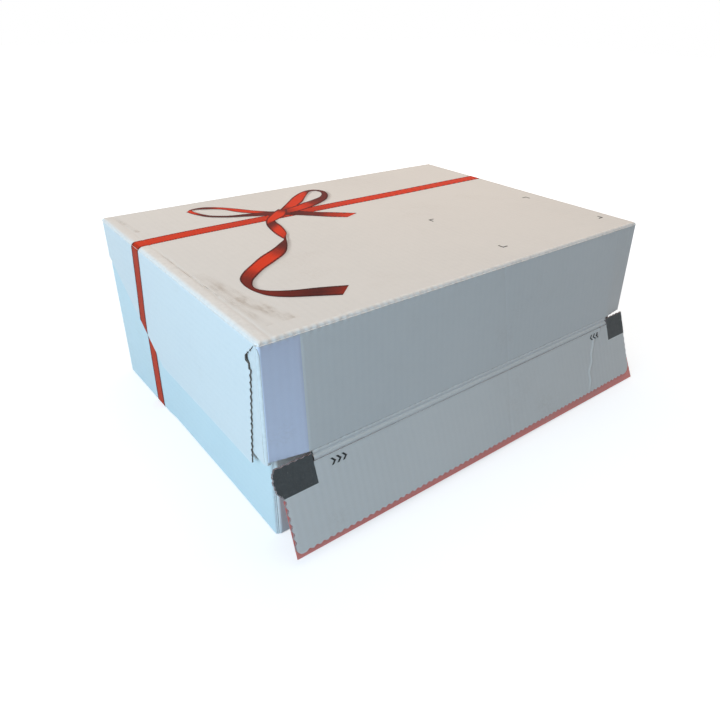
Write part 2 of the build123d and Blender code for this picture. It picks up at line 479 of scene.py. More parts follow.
@dataclass(frozen=True)
class RibbonInk:
    """Satin ribbon as it is printed: U runs across it, V along it in centimetres."""

    name: str
    deep: Colour = (0.016, 0.004, 0.004, 1.0)
    shade: Colour = (0.170, 0.016, 0.008, 1.0)
    bright: Colour = (0.760, 0.048, 0.011, 1.0)
    stitch: Colour = (0.035, 0.005, 0.005, 1.0)
    edge: float = 0.17
    gap: float = 0.75

    def build(self, groups: EffectGroups) -> bpy.types.Material:
        """Return the material. The attribute tone says how much light the drawn fold catches.

        Args:
            groups: the node groups that the finishes share.

        Returns:
            The material.
        """
        s = Surface(self.name, groups)
        across, along = s.uv()
        streak = s.noise(s.stretch(s.place["UV"], (26.0, 0.5, 1.0)), 1.0, 3.0, 0.6)
        lit = s.math("ADD", s.attribute("tone"), s.math("MULTIPLY_ADD", streak, 0.34, -0.17))
        dots = s.noise(s.place["Object"], 900.0, 2.0, 0.7)
        lit = s.math("ADD", lit, s.math("MULTIPLY_ADD", dots, 0.16, -0.08))
        colour = s.blend(s.span(lit, 0.0, 0.45), self.deep, self.shade)
        colour = s.blend(s.span(lit, 0.40, 0.95), colour, self.bright)
        border = s.math("ABSOLUTE", s.math("SUBTRACT", across, 0.5))
        dash = s.math("COSINE", s.math("MULTIPLY", along, 2.2 * math.tau))
        broken = s.span(dash, -0.5, 0.4, self.gap, 1.0)
        line = s.math("MULTIPLY", s.span(border, 0.5 - self.edge, 0.5 - self.edge / 2), broken)
        colour = s.blend(s.math("MULTIPLY", line, 0.9), colour, self.stitch)
        return s.finish(
            {
                "Base Color": s.blend(s.marks(0.08)["Scratch"], colour, (0.8, 0.7, 0.66, 1.0)),
                "Roughness": s.math("MULTIPLY_ADD", s.tone, 0.15, 0.42),
                "Specular IOR Level": 0.04,
                "Normal": s.bump(s.height, 0.2, 0.1),
            }
        )


@dataclass(frozen=True)
class ShadowInk:
    """The soft printed shadow beside the bow. U runs across it and fades at both sides."""

    name: str
    colour: Colour = (0.17, 0.11, 0.09, 1.0)
    strength: float = 0.3

    def build(self, groups: EffectGroups) -> bpy.types.Material:
        """Return the material.

        Args:
            groups: the node groups that the finishes share.

        Returns:
            The material.
        """
        s = Surface(self.name, groups)
        off = s.math("ABSOLUTE", s.math("SUBTRACT", s.uv()[0], 0.5))
        fade = s.math("MULTIPLY", s.span(off, 0.05, 0.5, self.strength, 0.0), s.attribute("tone"))
        return s.finish(
            {
                "Alpha": s.math("MULTIPLY", fade, s.span(s.tone, -0.2, 0.8, 0.75, 1.0)),
                "Base Color": s.blend(s.tone, self.colour, (0.24, 0.17, 0.14, 1.0)),
                "Roughness": 0.6,
                "Specular IOR Level": 0.1,
            }
        )


@dataclass(frozen=True)
class DirtFilm:
    """Brown dirt rubbed into the board in soft streaks. U runs across it and fades out."""

    name: str
    colour: Colour = (0.46, 0.345, 0.245, 1.0)
    strength: float = 0.42

    def build(self, groups: EffectGroups) -> bpy.types.Material:
        """Return the material.

        Args:
            groups: the node groups that the finishes share.

        Returns:
            The material.
        """
        s = Surface(self.name, groups)
        off = s.math("ABSOLUTE", s.math("SUBTRACT", s.uv()[0], 0.5))
        drawn = s.stretch(s.place["Object"], (260.0, 70.0, 260.0), -0.12)
        flecks = s.span(s.noise(drawn, 1.0, 2.0, 0.5), 0.30, 0.74, 0.2, 1.0)
        cloud = s.span(s.noise(s.place["Object"], 60.0, 2.0), 0.3, 0.65, 0.35, 1.0)
        fade = s.math("MULTIPLY", s.span(off, 0.1, 0.5, self.strength, 0.0), s.attribute("tone"))
        return s.finish(
            {
                "Alpha": s.math("MULTIPLY", s.math("MULTIPLY", fade, flecks), cloud),
                "Base Color": s.blend(s.tone, self.colour, (0.50, 0.39, 0.29, 1.0)),
                "Roughness": 0.8,
                "Specular IOR Level": 0.1,
            }
        )


@dataclass(frozen=True)
class PlainInk:
    """One flat printing ink on board: screen dots, pinholes and rubbed places."""

    name: str
    colour: Colour
    light: Colour
    roughness: float = 0.5

    def build(self, groups: EffectGroups) -> bpy.types.Material:
        """Return the material.

        Args:
            groups: the node groups that the finishes share.

        Returns:
            The material.
        """
        s = Surface(self.name, groups)
        pinholes = s.span(s.noise(s.place["Object"], 800.0, 2.0, 0.8), 0.68, 0.76)
        flaw = s.math("MAXIMUM", s.marks(0.8)["Scratch"], s.math("MULTIPLY", pinholes, 0.4))
        colour = s.blend(s.span(s.tone, 0.1, 0.8), self.colour, self.light)
        return s.finish(
            {
                "Base Color": s.blend(flaw, colour, (0.6, 0.58, 0.56, 1.0)),
                "Roughness": s.math("MULTIPLY_ADD", s.tone, 0.15, self.roughness - 0.07),
                "Specular IOR Level": 0.12,
                "Normal": s.bump(s.height, 0.25, 0.1),
            }
        )


@dataclass(frozen=True)
class FilmFinish:
    """A thin film or paper strip: tear tape, glue or release liner."""

    name: str
    colour: Colour
    dark: Colour
    roughness: float
    streaks: tuple[float, float, float] = (6.0, 400.0, 400.0)

    def build(self, groups: EffectGroups) -> bpy.types.Material:
        """Return the material.

        Args:
            groups: the node groups that the finishes share.

        Returns:
            The material.
        """
        s = Surface(self.name, groups)
        drawn = s.noise(s.stretch(s.place["Object"], self.streaks), 1.0, 3.0)
        tone = s.math("MULTIPLY_ADD", drawn, 0.6, s.math("MULTIPLY", s.tone, 0.5))
        colour = s.blend(s.span(tone, 0.2, 0.8), self.colour, self.dark)
        return s.finish(
            {
                "Base Color": s.blend(s.marks(0.7)["Smudge"], colour, (0.62, 0.40, 0.36, 1.0)),
                "Roughness": s.math("MULTIPLY_ADD", drawn, 0.2, self.roughness - 0.1),
                "Normal": s.bump(drawn, 0.3, 0.1),
            }
        )


class Finishes:
    """Every finish of the box, built once."""

    def __init__(self) -> None:
        """Build the shared effects, then each material."""
        groups = EffectGroups()

        def board(name: str, light: Colour, dark: Colour, **changes: Value) -> bpy.types.Material:
            """Return the material of one liner of the board."""
            return BoardFinish(name, light, dark, **changes).build(groups)

        self.white = board("white_liner", (0.80, 0.79, 0.78, 1.0), (0.70, 0.70, 0.70, 1.0))
        # The end of the lid's front panel beyond the left bend: its lilac tint is painted cool
        # light, and its lower roughness is its own.
        self.painted_lilac_light = board(
            "front_corner_painted_lilac_light", (0.76, 0.78, 0.93, 1.0), (0.68, 0.70, 0.86, 1.0), roughness=0.4
        )
        # Outer face of the tray's side walls, bluer and darker than the white liner: painted cool
        # shade.
        self.painted_cool_shade = board("tray_side_painted_cool_shade", (0.71, 0.79, 0.805, 1.0), (0.62, 0.70, 0.725, 1.0))
        self.kraft = board(
            "brown_liner",
            (0.46, 0.31, 0.185, 1.0),
            (0.35, 0.225, 0.13, 1.0),
            dirt=(0.26, 0.16, 0.09, 1.0),
            wear_and_highlight=(0.52, 0.38, 0.25, 1.0),
            flute_tone=0.6,
            roughness=0.8,
            fibre=1.6,
        )
        self.edge = CutEdgeFinish("cut_edge").build(groups)
        # The flap's cut edge, lighter and pinker than the others: the pink is painted red light
        # reflected onto it.
        self.flap_edge_painted_red_light = CutEdgeFinish(
            "flap_cut_edge_painted_red_light",
            liner=(0.62, 0.53, 0.52, 1.0),
            fluting=(0.50, 0.37, 0.35, 1.0),
            hollow_shade=(0.22, 0.13, 0.12, 1.0),
        ).build(groups)
        self.ribbon = RibbonInk("ribbon_ink").build(groups)
        self.stitched = RibbonInk("stitched_ribbon_ink", gap=0.1).build(groups)
        self.shadow = ShadowInk("shadow_ink").build(groups)
        self.dirt = DirtFilm("handling_dirt").build(groups)
        self.mark = PlainInk(
            "mark_ink", (0.035, 0.035, 0.035, 1.0), (0.07, 0.07, 0.07, 1.0)
        ).build(groups)
        self.square = PlainInk(
            "square_ink", (0.072, 0.076, 0.078, 1.0), (0.125, 0.128, 0.128, 1.0), 0.46
        ).build(groups)
        self.tape, self.glue, self.liner = (
            FilmFinish(name, colour, dark, roughness).build(groups)
            for name, colour, dark, roughness in (
                ("tear_tape_film", (0.72, 0.64, 0.47, 1.0), (0.60, 0.50, 0.34, 1.0), 0.35),
                ("glue_film", (0.74, 0.70, 0.56, 1.0), (0.62, 0.57, 0.42, 1.0), 0.3),
                ("release_paper", (1.0, 0.34, 0.30, 1.0), (0.88, 0.25, 0.215, 1.0), 0.45),
            )
        )

    def board(self, both_white: bool = False) -> list[bpy.types.Material]:
        """Return a sheet's materials in the order of its zones."""
        return [self.white, self.white if both_white else self.kraft, self.edge, self.square]


# ---------------------------------------------------------------- sheets of board


@dataclass
class Sheet:
    """A panel of board, drawn on its outer face.

    U runs along `along`, V runs along `up`, and their cross product points out of the board.
    """

    name: str
    body: str
    node: str
    origin: Vector
    along: Vector
    up: Vector
    u_span: Point
    v_span: Point
    u_step: float = 4 * MM
    v_step: float = 4 * MM
    thickness: float = BOARD
    flutes: Flutes = Flutes.ALONG_U
    washboard: float = 0.04 * MM
    crush: float = 0.22 * MM
    roll_u: tuple[float, float] = (0.0, 0.0)
    roll_v: tuple[float, float] = (0.0, 0.0)
    fold_u: tuple[bool, bool] = (False, False)
    fold_v: tuple[bool, bool] = (False, False)
    marks_u: tuple[float, ...] = ()
    marks_v: tuple[float, ...] = ()
    seed: float = 0.0
    both_white: bool = False
    warp: Callable[[Vector], Vector] | None = None

    @property
    def out(self) -> Vector:
        """The way out of the board's face."""
        return self.along.cross(self.up)

    def count(self, u: float, v: float) -> float:
        """Return how many flutes lie between the panel's middle and a place."""
        return (u if self.flutes is Flutes.ALONG_U else v) / FLUTE_PITCH

    def form(self, u: float, v: float) -> float:
        """Return how far the panel's face stands out of its plane; flat unless a panel says so."""
        return 0.0

    def ripple(self, u: float, v: float) -> float:
        """Return how far a place lies between two flutes, from 0 on a flute to 1."""
        return 0.5 - 0.5 * math.cos(math.tau * self.count(u, v))

    def borders(self, u: float, v: float) -> tuple[tuple[float, bool], ...]:
        """Return how far each border lies away, and whether the face runs on round it.

        Args:
            u: place along the panel.
            v: place up the panel.

        Returns:
            The four distances, each with its answer.
        """
        return (
            (u - self.u_span[0], bool(self.fold_u[0] or self.roll_u[0])),
            (self.u_span[1] - u, bool(self.fold_u[1] or self.roll_u[1])),
            (v - self.v_span[0], bool(self.fold_v[0] or self.roll_v[0])),
            (self.v_span[1] - v, bool(self.fold_v[1] or self.roll_v[1])),
        )

    def relief(self, u: float, v: float) -> float:
        """Return the height of the outer face: form, washboard, waviness and crushed borders.

        Args:
            u: place along the panel.
            v: place up the panel.

        Returns:
            The height above the panel's plane.
        """
        slow = noise.noise(Vector((u * 9, v * 9, self.seed)))
        border = min(1.0 if fold else away for away, fold in self.borders(u, v))
        soft = self.crush * (1 - smooth(0.0, 1.1 * MM, border))
        waver = min(0.0, 0.18 * MM * (slow - 0.6))
        return self.form(u, v) - SKIN - self.washboard * self.ripple(u, v) + waver - soft

    def rolled(self, value: float, span: Point, radii: Point) -> tuple[float, float, float]:
        """Carry a place round a rolled crease.

        Args:
            value: place along U or V.
            span: the sheet's span that way.
            radii: radius of the crease at the low and the high end, 0 for a cut edge.

        Returns:
            The place after the roll, how far the face has dropped there, and how far its
            normal leans out, from -1 to 1.
        """
        for end, sign, radius in ((span[0], -1, radii[0]), (span[1], 1, radii[1])):
            inside = radius - abs(end - value)
            if radius and inside > 0:
                least = 1 - (self.thickness - LEAST_RIM) / radius
                angle = inside / radius * math.acos(max(0.0, least))
                place = end - sign * radius * (1 - math.sin(angle))
                return place, radius * (1 - math.cos(angle)), sign * math.sin(angle)
        return value, 0.0, 0.0

    def scallop(self, u: float, v: float) -> float:
        """Return how far a flute's end is pinched in at a rolled crease."""
        return 0.0

    def skin(self, u: float, v: float, lift: float = 0.0) -> Vector:
        """Return a place on the outer face, in the shared frame.

        Args:
            u: place along the panel.
            v: place up the panel.
            lift: how far above the face.
        """
        pu, drop_u, lean_u = self.rolled(u, self.u_span, self.roll_u)
        pv, drop_v, lean_v = self.rolled(v, self.v_span, self.roll_v)
        drop = min(math.hypot(drop_u, drop_v), self.thickness - LEAST_RIM)
        rise = self.relief(u, v) - self.scallop(u, v) + lift
        upright = math.sqrt(max(0.0, 1 - lean_u**2 - lean_v**2))
        height = rise * upright - drop
        if drop:
            height = max(height, lift - self.thickness + HAIR)
        place = self.along * (pu + lean_u * rise) + self.up * (pv + lean_v * rise)
        return self.settled(self.origin + place + self.out * height)

    def settled(self, place: Vector) -> Vector:
        """Return a place of the flat panel where the panel's warp carries it."""
        return self.warp(place) if self.warp else place

    def depth(self, u: float, v: float) -> float:
        """Return the board's thickness, less where a cut crushed it."""
        return self.thickness

    def outline(self, bm: bmesh.types.BMesh) -> None:
        """Trim the sheet to its outline; a plain rectangle unless a panel says so."""

    def zone(self, u: float, v: float) -> Zone:
        """Return the zone of an outer face."""
        return Zone.OUTSIDE

    def folded(self, u: float, v: float) -> bool:
        """Return whether a place on the border is on a crease, where the face runs on round it."""
        return any(fold and away < HAIR for away, fold in self.borders(u, v))

    def wear_and_highlight(self, u: float, v: float) -> float:
        """Return how rubbed the face is, from 0 to 1: most at its edges and creases."""
        border = min(away for away, _ in self.borders(u, v))
        return 0.75 * (1 - smooth(0.2 * MM, 2.6 * MM, border))

    def build(self, finishes: Finishes, materials: list | None = None) -> bpy.types.Object:
        """Make the sheet, put it in the place of its plain plate and dress it.

        Args:
            finishes: every finish of the box.
            materials: one for each zone, or None for the board's own.

        Returns:
            The finished piece.
        """
        us = stations(*self.u_span, self.u_step, self.marks_u)
        vs = stations(*self.v_span, self.v_step, self.marks_v)
        bm = bmesh.new()
        bmesh.ops.create_grid(bm, x_segments=len(us) - 1, y_segments=len(vs) - 1, size=0.5)
        for vert in bm.verts:
            column = round((vert.co.x + 0.5) * (len(us) - 1))
            row = round((vert.co.y + 0.5) * (len(vs) - 1))
            vert.co = (us[column], vs[row], 0.0)
        self.outline(bm)
        uv = bm.loops.layers.uv.new("flutes")
        # Each point carries its wear, and on the lid's ridges also a painted highlight.
        wear_and_highlight = bm.verts.layers.float.new("wear_and_highlight")
        for face in bm.faces:
            middle = face.calc_center_median()
            face.material_index = self.zone(middle.x, middle.y).value
            face.smooth = True
        outer = set(bm.faces)
        grown = bmesh.ops.extrude_face_region(bm, geom=list(bm.faces))["geom"]
        inner_faces = {item for item in grown if isinstance(item, bmesh.types.BMFace)}
        inner = [item for item in grown if isinstance(item, bmesh.types.BMVert)]
        for vert in inner:
            vert[wear_and_highlight] = self.wear_and_highlight(vert.co.x, vert.co.y)
        deep = set(inner)
        for face in bm.faces:
            if face in inner_faces:
                face.material_index = Zone.INSIDE.value
            elif face not in outer:
                middle = face.calc_center_median()
                crease = self.folded(middle.x, middle.y)
                face.material_index = (Zone.OUTSIDE if crease else Zone.EDGE).value
                face.smooth = False
            for loop in face.loops:
                place = loop.vert.co
                count = self.count(place.x, place.y)
                other = (place.y if self.flutes is Flutes.ALONG_U else place.x) / FLUTE_PITCH
                if face.material_index == Zone.EDGE.value:
                    loop[uv].uv = (count + other, 1.0 if loop.vert in deep else 0.0)
                else:
                    loop[uv].uv = (count, other)
        for vert in list(bm.verts):
            place = vert.co.copy()
            if vert in deep:
                pu = self.rolled(place.x, self.u_span, self.roll_u)[0]
                pv = self.rolled(place.y, self.v_span, self.roll_v)[0]
                height = self.form(place.x, place.y) - self.depth(place.x, place.y)
                flat = self.origin + self.along * pu + self.up * pv + self.out * height
                vert.co = self.settled(flat)
            else:
                vert[wear_and_highlight] = self.wear_and_highlight(place.x, place.y)
                vert.co = self.skin(place.x, place.y)
        bmesh.ops.recalc_face_normals(bm, faces=bm.faces)
        for edge in bm.edges:
            zones = {face.material_index for face in edge.link_faces}
            edge.smooth = not (Zone.EDGE.value in zones and len(zones) > 1)
        piece = add_object(self.name, bm, materials or finishes.board(self.both_white))
        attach(piece, self.body)
        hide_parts(self.node)
        log.info("%s: %d faces", self.name, len(piece.data.polygons))
        return piece


def cut(bm: bmesh.types.BMesh, place: Point, normal: Point, clear: bool = True) -> None:
    """Cut a flat sheet along a line.

    Args:
        bm: the sheet.
        place: a point on the line.
        normal: the way across the line, towards what is cut off.
        clear: take away what is cut off, or only draw the line.
    """
    bmesh.ops.bisect_plane(
        bm,
        geom=bm.verts[:] + bm.edges[:] + bm.faces[:],
        dist=0.02 * MM,
        plane_co=(*place, 0.0),
        plane_no=(*normal, 0.0),
        clear_outer=clear,
    )


def cut_between(bm: bmesh.types.BMesh, start: Point, end: Point, clear: bool = True) -> None:
    """Cut a flat sheet along a line, taking away what lies to the right of its run."""
    run = Vector(end) - Vector(start)
    cut(bm, start, (run.y, -run.x), clear)


def round_corner(bm: bmesh.types.BMesh, corner: Point, signs: Point, radius: float) -> None:
    """Round one square corner of a sheet by short straight cuts.

    Args:
        bm: the sheet.
        corner: the square corner.
        signs: which way the corner points along U and V, each -1 or 1.
        radius: radius of the rounding.
    """
    middle = Vector((corner[0] - signs[0] * radius, corner[1] - signs[1] * radius))
    steps = 8
    for step in range(steps):
        angle = math.pi / 2 * (step + 0.5) / steps
        way = Vector((signs[0] * math.cos(angle), signs[1] * math.sin(angle)))
        cut(bm, tuple(middle + way * radius), tuple(way))


def wave_edge(bm: bmesh.types.BMesh, start: Point, end: Point, depth: float = WAVE_DEPTH) -> None:
    """Give a straight border of a sheet its wave cut.

    Args:
        bm: the sheet, flat.
        start: where the border starts; the board lies to the left of its run.
        end: where it ends.
        depth: how deep the waves cut in.
    """
    first, run = Vector(start), Vector(end) - Vector(start)
    length = run.length
    run.normalize()
    inward = Vector((-run.y, run.x))
    teeth = max(1, round(length / FLUTE_PITCH))
    for vert in bm.verts:
        offset = vert.co.xy - first
        place, away = offset.dot(run), offset.dot(inward)
        if -0.06 * MM < away < WAVE_REACH and 0 <= place <= length:
            bite = depth * (0.5 - 0.5 * math.cos(math.tau * teeth * place / length))
            vert.co.xy += inward * bite * (1 - max(0.0, away) / WAVE_REACH)


def drop_faces(bm: bmesh.types.BMesh, inside: Callable[[Vector], bool]) -> None:
    """Take away the faces whose middle lies inside."""
    gone = [face for face in bm.faces if inside(face.calc_center_median())]
    bmesh.ops.delete(bm, geom=gone, context="FACES")


X, Y, Z = Vector((1, 0, 0)), Vector((0, 1, 0)), Vector((0, 0, 1))


def ridge_inset(height: float, radius: float) -> float:
    """Return how far an upright face of the lid lies in, where its top ridge rounds it."""
    above = height - (CAD_BOX[1].z - radius)
    return radius - math.sqrt(radius**2 - above**2) if above > 0 else 0.0


# How far the left end of the lid's front panel is turned back.
FRONT_TURN = 1.6 * MM

# Corners of a lid side panel's front edge, as Y and Z: its foot, its knee, the notch and its crown.
FRONT_EDGE = ((-0.1384, 0.063), (-0.1495, 0.150), (-0.1426, 0.1604), (-0.1585, 0.1756))


def front_edge(z: float) -> float:
    """Return the Y of a lid side panel's front edge at a height.

    Args:
        z: the height.

    Returns:
        The Y.
    """
    for (y0, z0), (y1, z1) in zip(FRONT_EDGE, FRONT_EDGE[1:]):
        if z < z1:
            return y0 + (y1 - y0) * max(0.0, z - z0) / (z1 - z0)
    return FRONT_EDGE[-1][0]


# Foot of a lid side panel's rear diagonal edge, as Y and Z, and the edge's slope.
DIAGONAL_Y, DIAGONAL_Z, DIAGONAL_SLOPE = 0.0407, 0.063, 0.644


def rear_diagonal(y: float) -> float:
    """Return the height of a lid side panel's rear diagonal edge."""
    return DIAGONAL_Z + DIAGONAL_SLOPE * (y - DIAGONAL_Y)


def near_front_edge(y: float, z: float) -> float:
    """Return how near a place is to a lid side panel's front edge, from 0 to 1."""
    edge = front_edge(z)
    return smooth(edge + 9 * MM, edge, y)


def wing_bow(place: Vector) -> Vector:
    """Carry a wing out towards its crease with the front panel, flush at the lid's corner.

    Args:
        place: a place on the flat wing.

    Returns:
        Where the place comes to lie.
    """
    start = front_edge(min(place.z, FRONT_EDGE[1][1]))
    corner = smooth(start - 3 * MM, -0.1590, place.y)
    bow = 1.25 * MM * (smooth(start + 9 * MM, start, place.y) + corner)
    past = FRONT_TURN * smooth(0.1762, 0.1672, place.z) - 0.1612 - place.y
    if past > 0:
        bow -= BOARD - math.sqrt(max(0.0, BOARD**2 - past**2))
    return place + X * math.copysign(bow, place.x)


def tray_bow(place: Vector) -> Vector:
    """Carry a tray's side walls out towards the rear, most at the foot.

    Args:
        place: a place on the tray's flat walls.

    Returns:
        Where the place comes to lie.
    """
    reach = smooth(0.2105, 0.2160, abs(place.x))
    rearward = min(1.0, max(0.0, (place.y + 0.085) / 0.247))
    free = place.y - DIAGONAL_Y - max(0.0, place.z - DIAGONAL_Z) / DIAGONAL_SLOPE
    bow = (2.4 + 2.0 * smooth(0.0, 16 * MM, free)) * MM * rearward * reach
    return place + X * math.copysign(bow, place.x)


@dataclass
class LidTop(Sheet):
    """The lid's top: rolled creases all round, scalloped where the flutes end at the front."""

    score_inset: float = 12 * MM
    corner: float = 3.0 * MM

    def scallop(self, u: float, v: float) -> float:
        """Pinch each flute's end in at the front crease."""
        return 0.45 * MM * smooth(5 * MM, 0.0, v - self.v_span[0]) * self.ripple(u, v)

    def outline(self, bm: bmesh.types.BMesh) -> None:
        """Round the four corners, the right ones less.

        Args:
            bm: the sheet, still flat.
        """
        for u, sign_u, share in zip(self.u_span, (-1, 1), (1.0, 0.6)):
            for v, sign_v in zip(self.v_span, (-1, 1)):
                round_corner(bm, (u, v), (sign_u, sign_v), self.corner * share)

    def folded(self, u: float, v: float) -> bool:
        """Return true: every border of the top is a crease."""
        return True

    def wear_and_highlight(self, u: float, v: float) -> float:
        """Return the wear at the borders, and a painted highlight along the front and left ridges.

        Args:
            u: place along the panel.
            v: place up the panel.

        Returns:
            The wear and painted highlight, from 0 to 1.
        """
        # painted highlight along the rolled front ridge and a band beside the left ridge
        front = 1.3 * (1 - smooth(3.2 * MM, 4.6 * MM, v - self.v_span[0]))
        left = 0.55 * (1 - smooth(8.5 * MM, 11 * MM, u - self.u_span[0]))
        return max(super().wear_and_highlight(u, v), front, left * smooth(0.13, 0.05, v))

    def form(self, u: float, v: float) -> float:
        """Sink the score line beside the left crease, and let the middle sag a little.

        Args:
            u: place along the panel.
            v: place up the panel.

        Returns:
            How far the face stands out of the panel's plane.
        """
        score = 0.25 * MM * ridge(u, self.u_span[0] + self.score_inset, 1.6 * MM)
        along = min(1.0, max(0.0, (-0.045 - v) / 0.112))
        bend = 0.169 + 0.013 * math.sin(math.pi * along) - 0.006 * along
        crease = -0.16 * MM * ridge(u, bend, 1.8 * MM) * smooth(-0.035, -0.06, v)
        middle = (1 - (2 * u / 0.45) ** 2) * (1 - (2 * v / 0.328) ** 2)
        return -score - crease - 0.5 * MM * max(0.0, middle)


@dataclass
class LidFront(Sheet):
    """The lid's front panel, bowed forward towards its lower edge between two bends."""

    bulge: float = 5.8 * MM
    bend: float = 0.192
    hang: float = 2.4 * MM

    def form(self, u: float, v: float) -> float:
        """Return the bow, with the two bends and the faint crease between them.

        Args:
            u: place along the panel.
            v: place up the panel.

        Returns:
            How far the face stands out of the panel's plane.
        """
        low, high = self.v_span
        out_there = max(0.0, abs(u) - self.bend) / (self.u_span[1] - self.bend)
        down = min(1.0, (high - v) / (high - low - self.hang))
        bow = (self.bulge - 0.1 * MM) * (1 - out_there) * down
        turn = (FRONT_TURN if u < 0 else 0.2 * MM) * out_there * smooth(high, high - 9 * MM, v)
        groove = 0.25 * MM * ridge(abs(u), self.bend, 1.8 * MM)
        line = 0.25 * MM * ridge(u, 0.0307 - 0.147 * (v - low - self.hang), 1.8 * MM)
        return bow - turn - groove - line - ridge_inset(v, RIDGE_FRONT)

    def outline(self, bm: bmesh.types.BMesh) -> None:
        """Trim the lower edge, which hangs lower at the right end.

        Args:
            bm: the sheet, still flat.
        """
        low, end = self.v_span[0], self.u_span[1]
        cut_between(bm, (end, low), (self.bend, low + self.hang), clear=False)
        cut(bm, (0.0, low + self.hang), (0.0, -1.0), clear=False)

        def outside(middle: Vector) -> bool:
            """Return whether a face hangs below the trimmed edge."""
            share = min(1.0, max(0.0, (end - middle.x) / (end - self.bend)))
            return middle.y < low + self.hang * share

        drop_faces(bm, outside)

    def folded(self, u: float, v: float) -> bool:
        """Return true: every border of the panel is a crease."""
        return True

    def zone(self, u: float, v: float) -> Zone:
        """Return the zone: the end beyond the left bend takes the painted lilac light."""
        return Zone.PATCH if u < -self.bend else Zone.OUTSIDE

    def scallop(self, u: float, v: float) -> float:
        """Pinch the flutes at the upper crease, and less at the lower edge.

        Args:
            u: place along the panel.
            v: place up the panel.

        Returns:
            The depth of the pinch.
        """
        upper = 0.45 * smooth(4 * MM, 0.0, self.v_span[1] - v)
        lower = 0.2 * smooth(3 * MM, 0.0, v - self.v_span[0] - self.hang)
        return (upper + lower) * MM * self.ripple(u, v)


@dataclass
class LidSide(Sheet):
    """A side panel of the lid: wave-cut front edge, notched corner, clipped rear corner.

    `toward_front` is 1 where U runs to the front and -1 where it runs to the rear.
    """

    toward_front: int = 1
    ridge: float = RIDGE_SIDE

    def place(self, y: float, z: float) -> Point:
        """Return the sheet's U and V for a place in the shared frame."""
        return (-self.toward_front * y, z)

    def line(self, bm: bmesh.types.BMesh, start: Point, end: Point, clear: bool = True) -> None:
        """Cut from one place to another, given as Y and Z, keeping the board on the left."""
        ends = (start, end) if self.toward_front < 0 else (end, start)
        cut_between(bm, self.place(*ends[0]), self.place(*ends[1]), clear)

    def outline(self, bm: bmesh.types.BMesh) -> None:
        """Cut the rear diagonal, the front edge and the notch.

        Args:
            bm: the sheet, still flat.
        """
        low = self.v_span[0]
        foot, knee, valley, crown = FRONT_EDGE
        self.line(bm, (DIAGONAL_Y, low), (LID_REAR, rear_diagonal(LID_REAR)))
        self.line(bm, valley, crown, clear=False)
        self.line(bm, knee, valley, clear=False)
        self.line(bm, foot, knee, clear=False)
        drop_faces(bm, lambda m: -self.toward_front * m.x < front_edge(m.y))
        cut(bm, self.place(foot[0] + 1 * MM, foot[1]), (self.toward_front, -1.0))
        start, end = self.place(front_edge(low + 4 * MM), low + 4 * MM), self.place(*knee)
        if self.toward_front < 0:
            start, end = end, start
        wave_edge(bm, start, end)

    def depth(self, u: float, v: float) -> float:
        """Return the board's thickness: the knife crushed it along the front edge."""
        return self.thickness - 1.3 * MM * near_front_edge(-self.toward_front * u, v)

    def form(self, u: float, v: float) -> float:
        """Dish the panel slightly between its crease and its glued foot.

        Args:
            u: place along the panel.
            v: place up the panel.

        Returns:
            How far the face stands out of the panel's plane.
        """
        low, high = self.v_span
        dish = 0.25 * MM * math.sin(math.pi * (v - low) / (high - low))
        return -dish - ridge_inset(v, self.ridge)


@dataclass
class Wing(Sheet):
    """The wing behind a lid side panel, which runs back from the lid's front panel."""

    toward_front: int = 1

    def outline(self, bm: bmesh.types.BMesh) -> None:
        """Taper the wing and clip its corners.

        Args:
            bm: the sheet, still flat.
        """
        low, high = self.v_span
        tf = self.toward_front
        rear, front = sorted((tf * self.u_span[0], tf * self.u_span[1]))
        for start, way in (
            ((rear, low + 12 * MM), (-0.26, -1.0)),
            ((front, low + 2.6 * MM), (0.15, -1.0)),
            ((rear, high - 12 * MM), (-1.0, 1.0)),
            ((front - 3.2 * MM, high), (1.0, 1.0)),
        ):
            cut(bm, (tf * start[0], start[1]), (tf * way[0], way[1]))


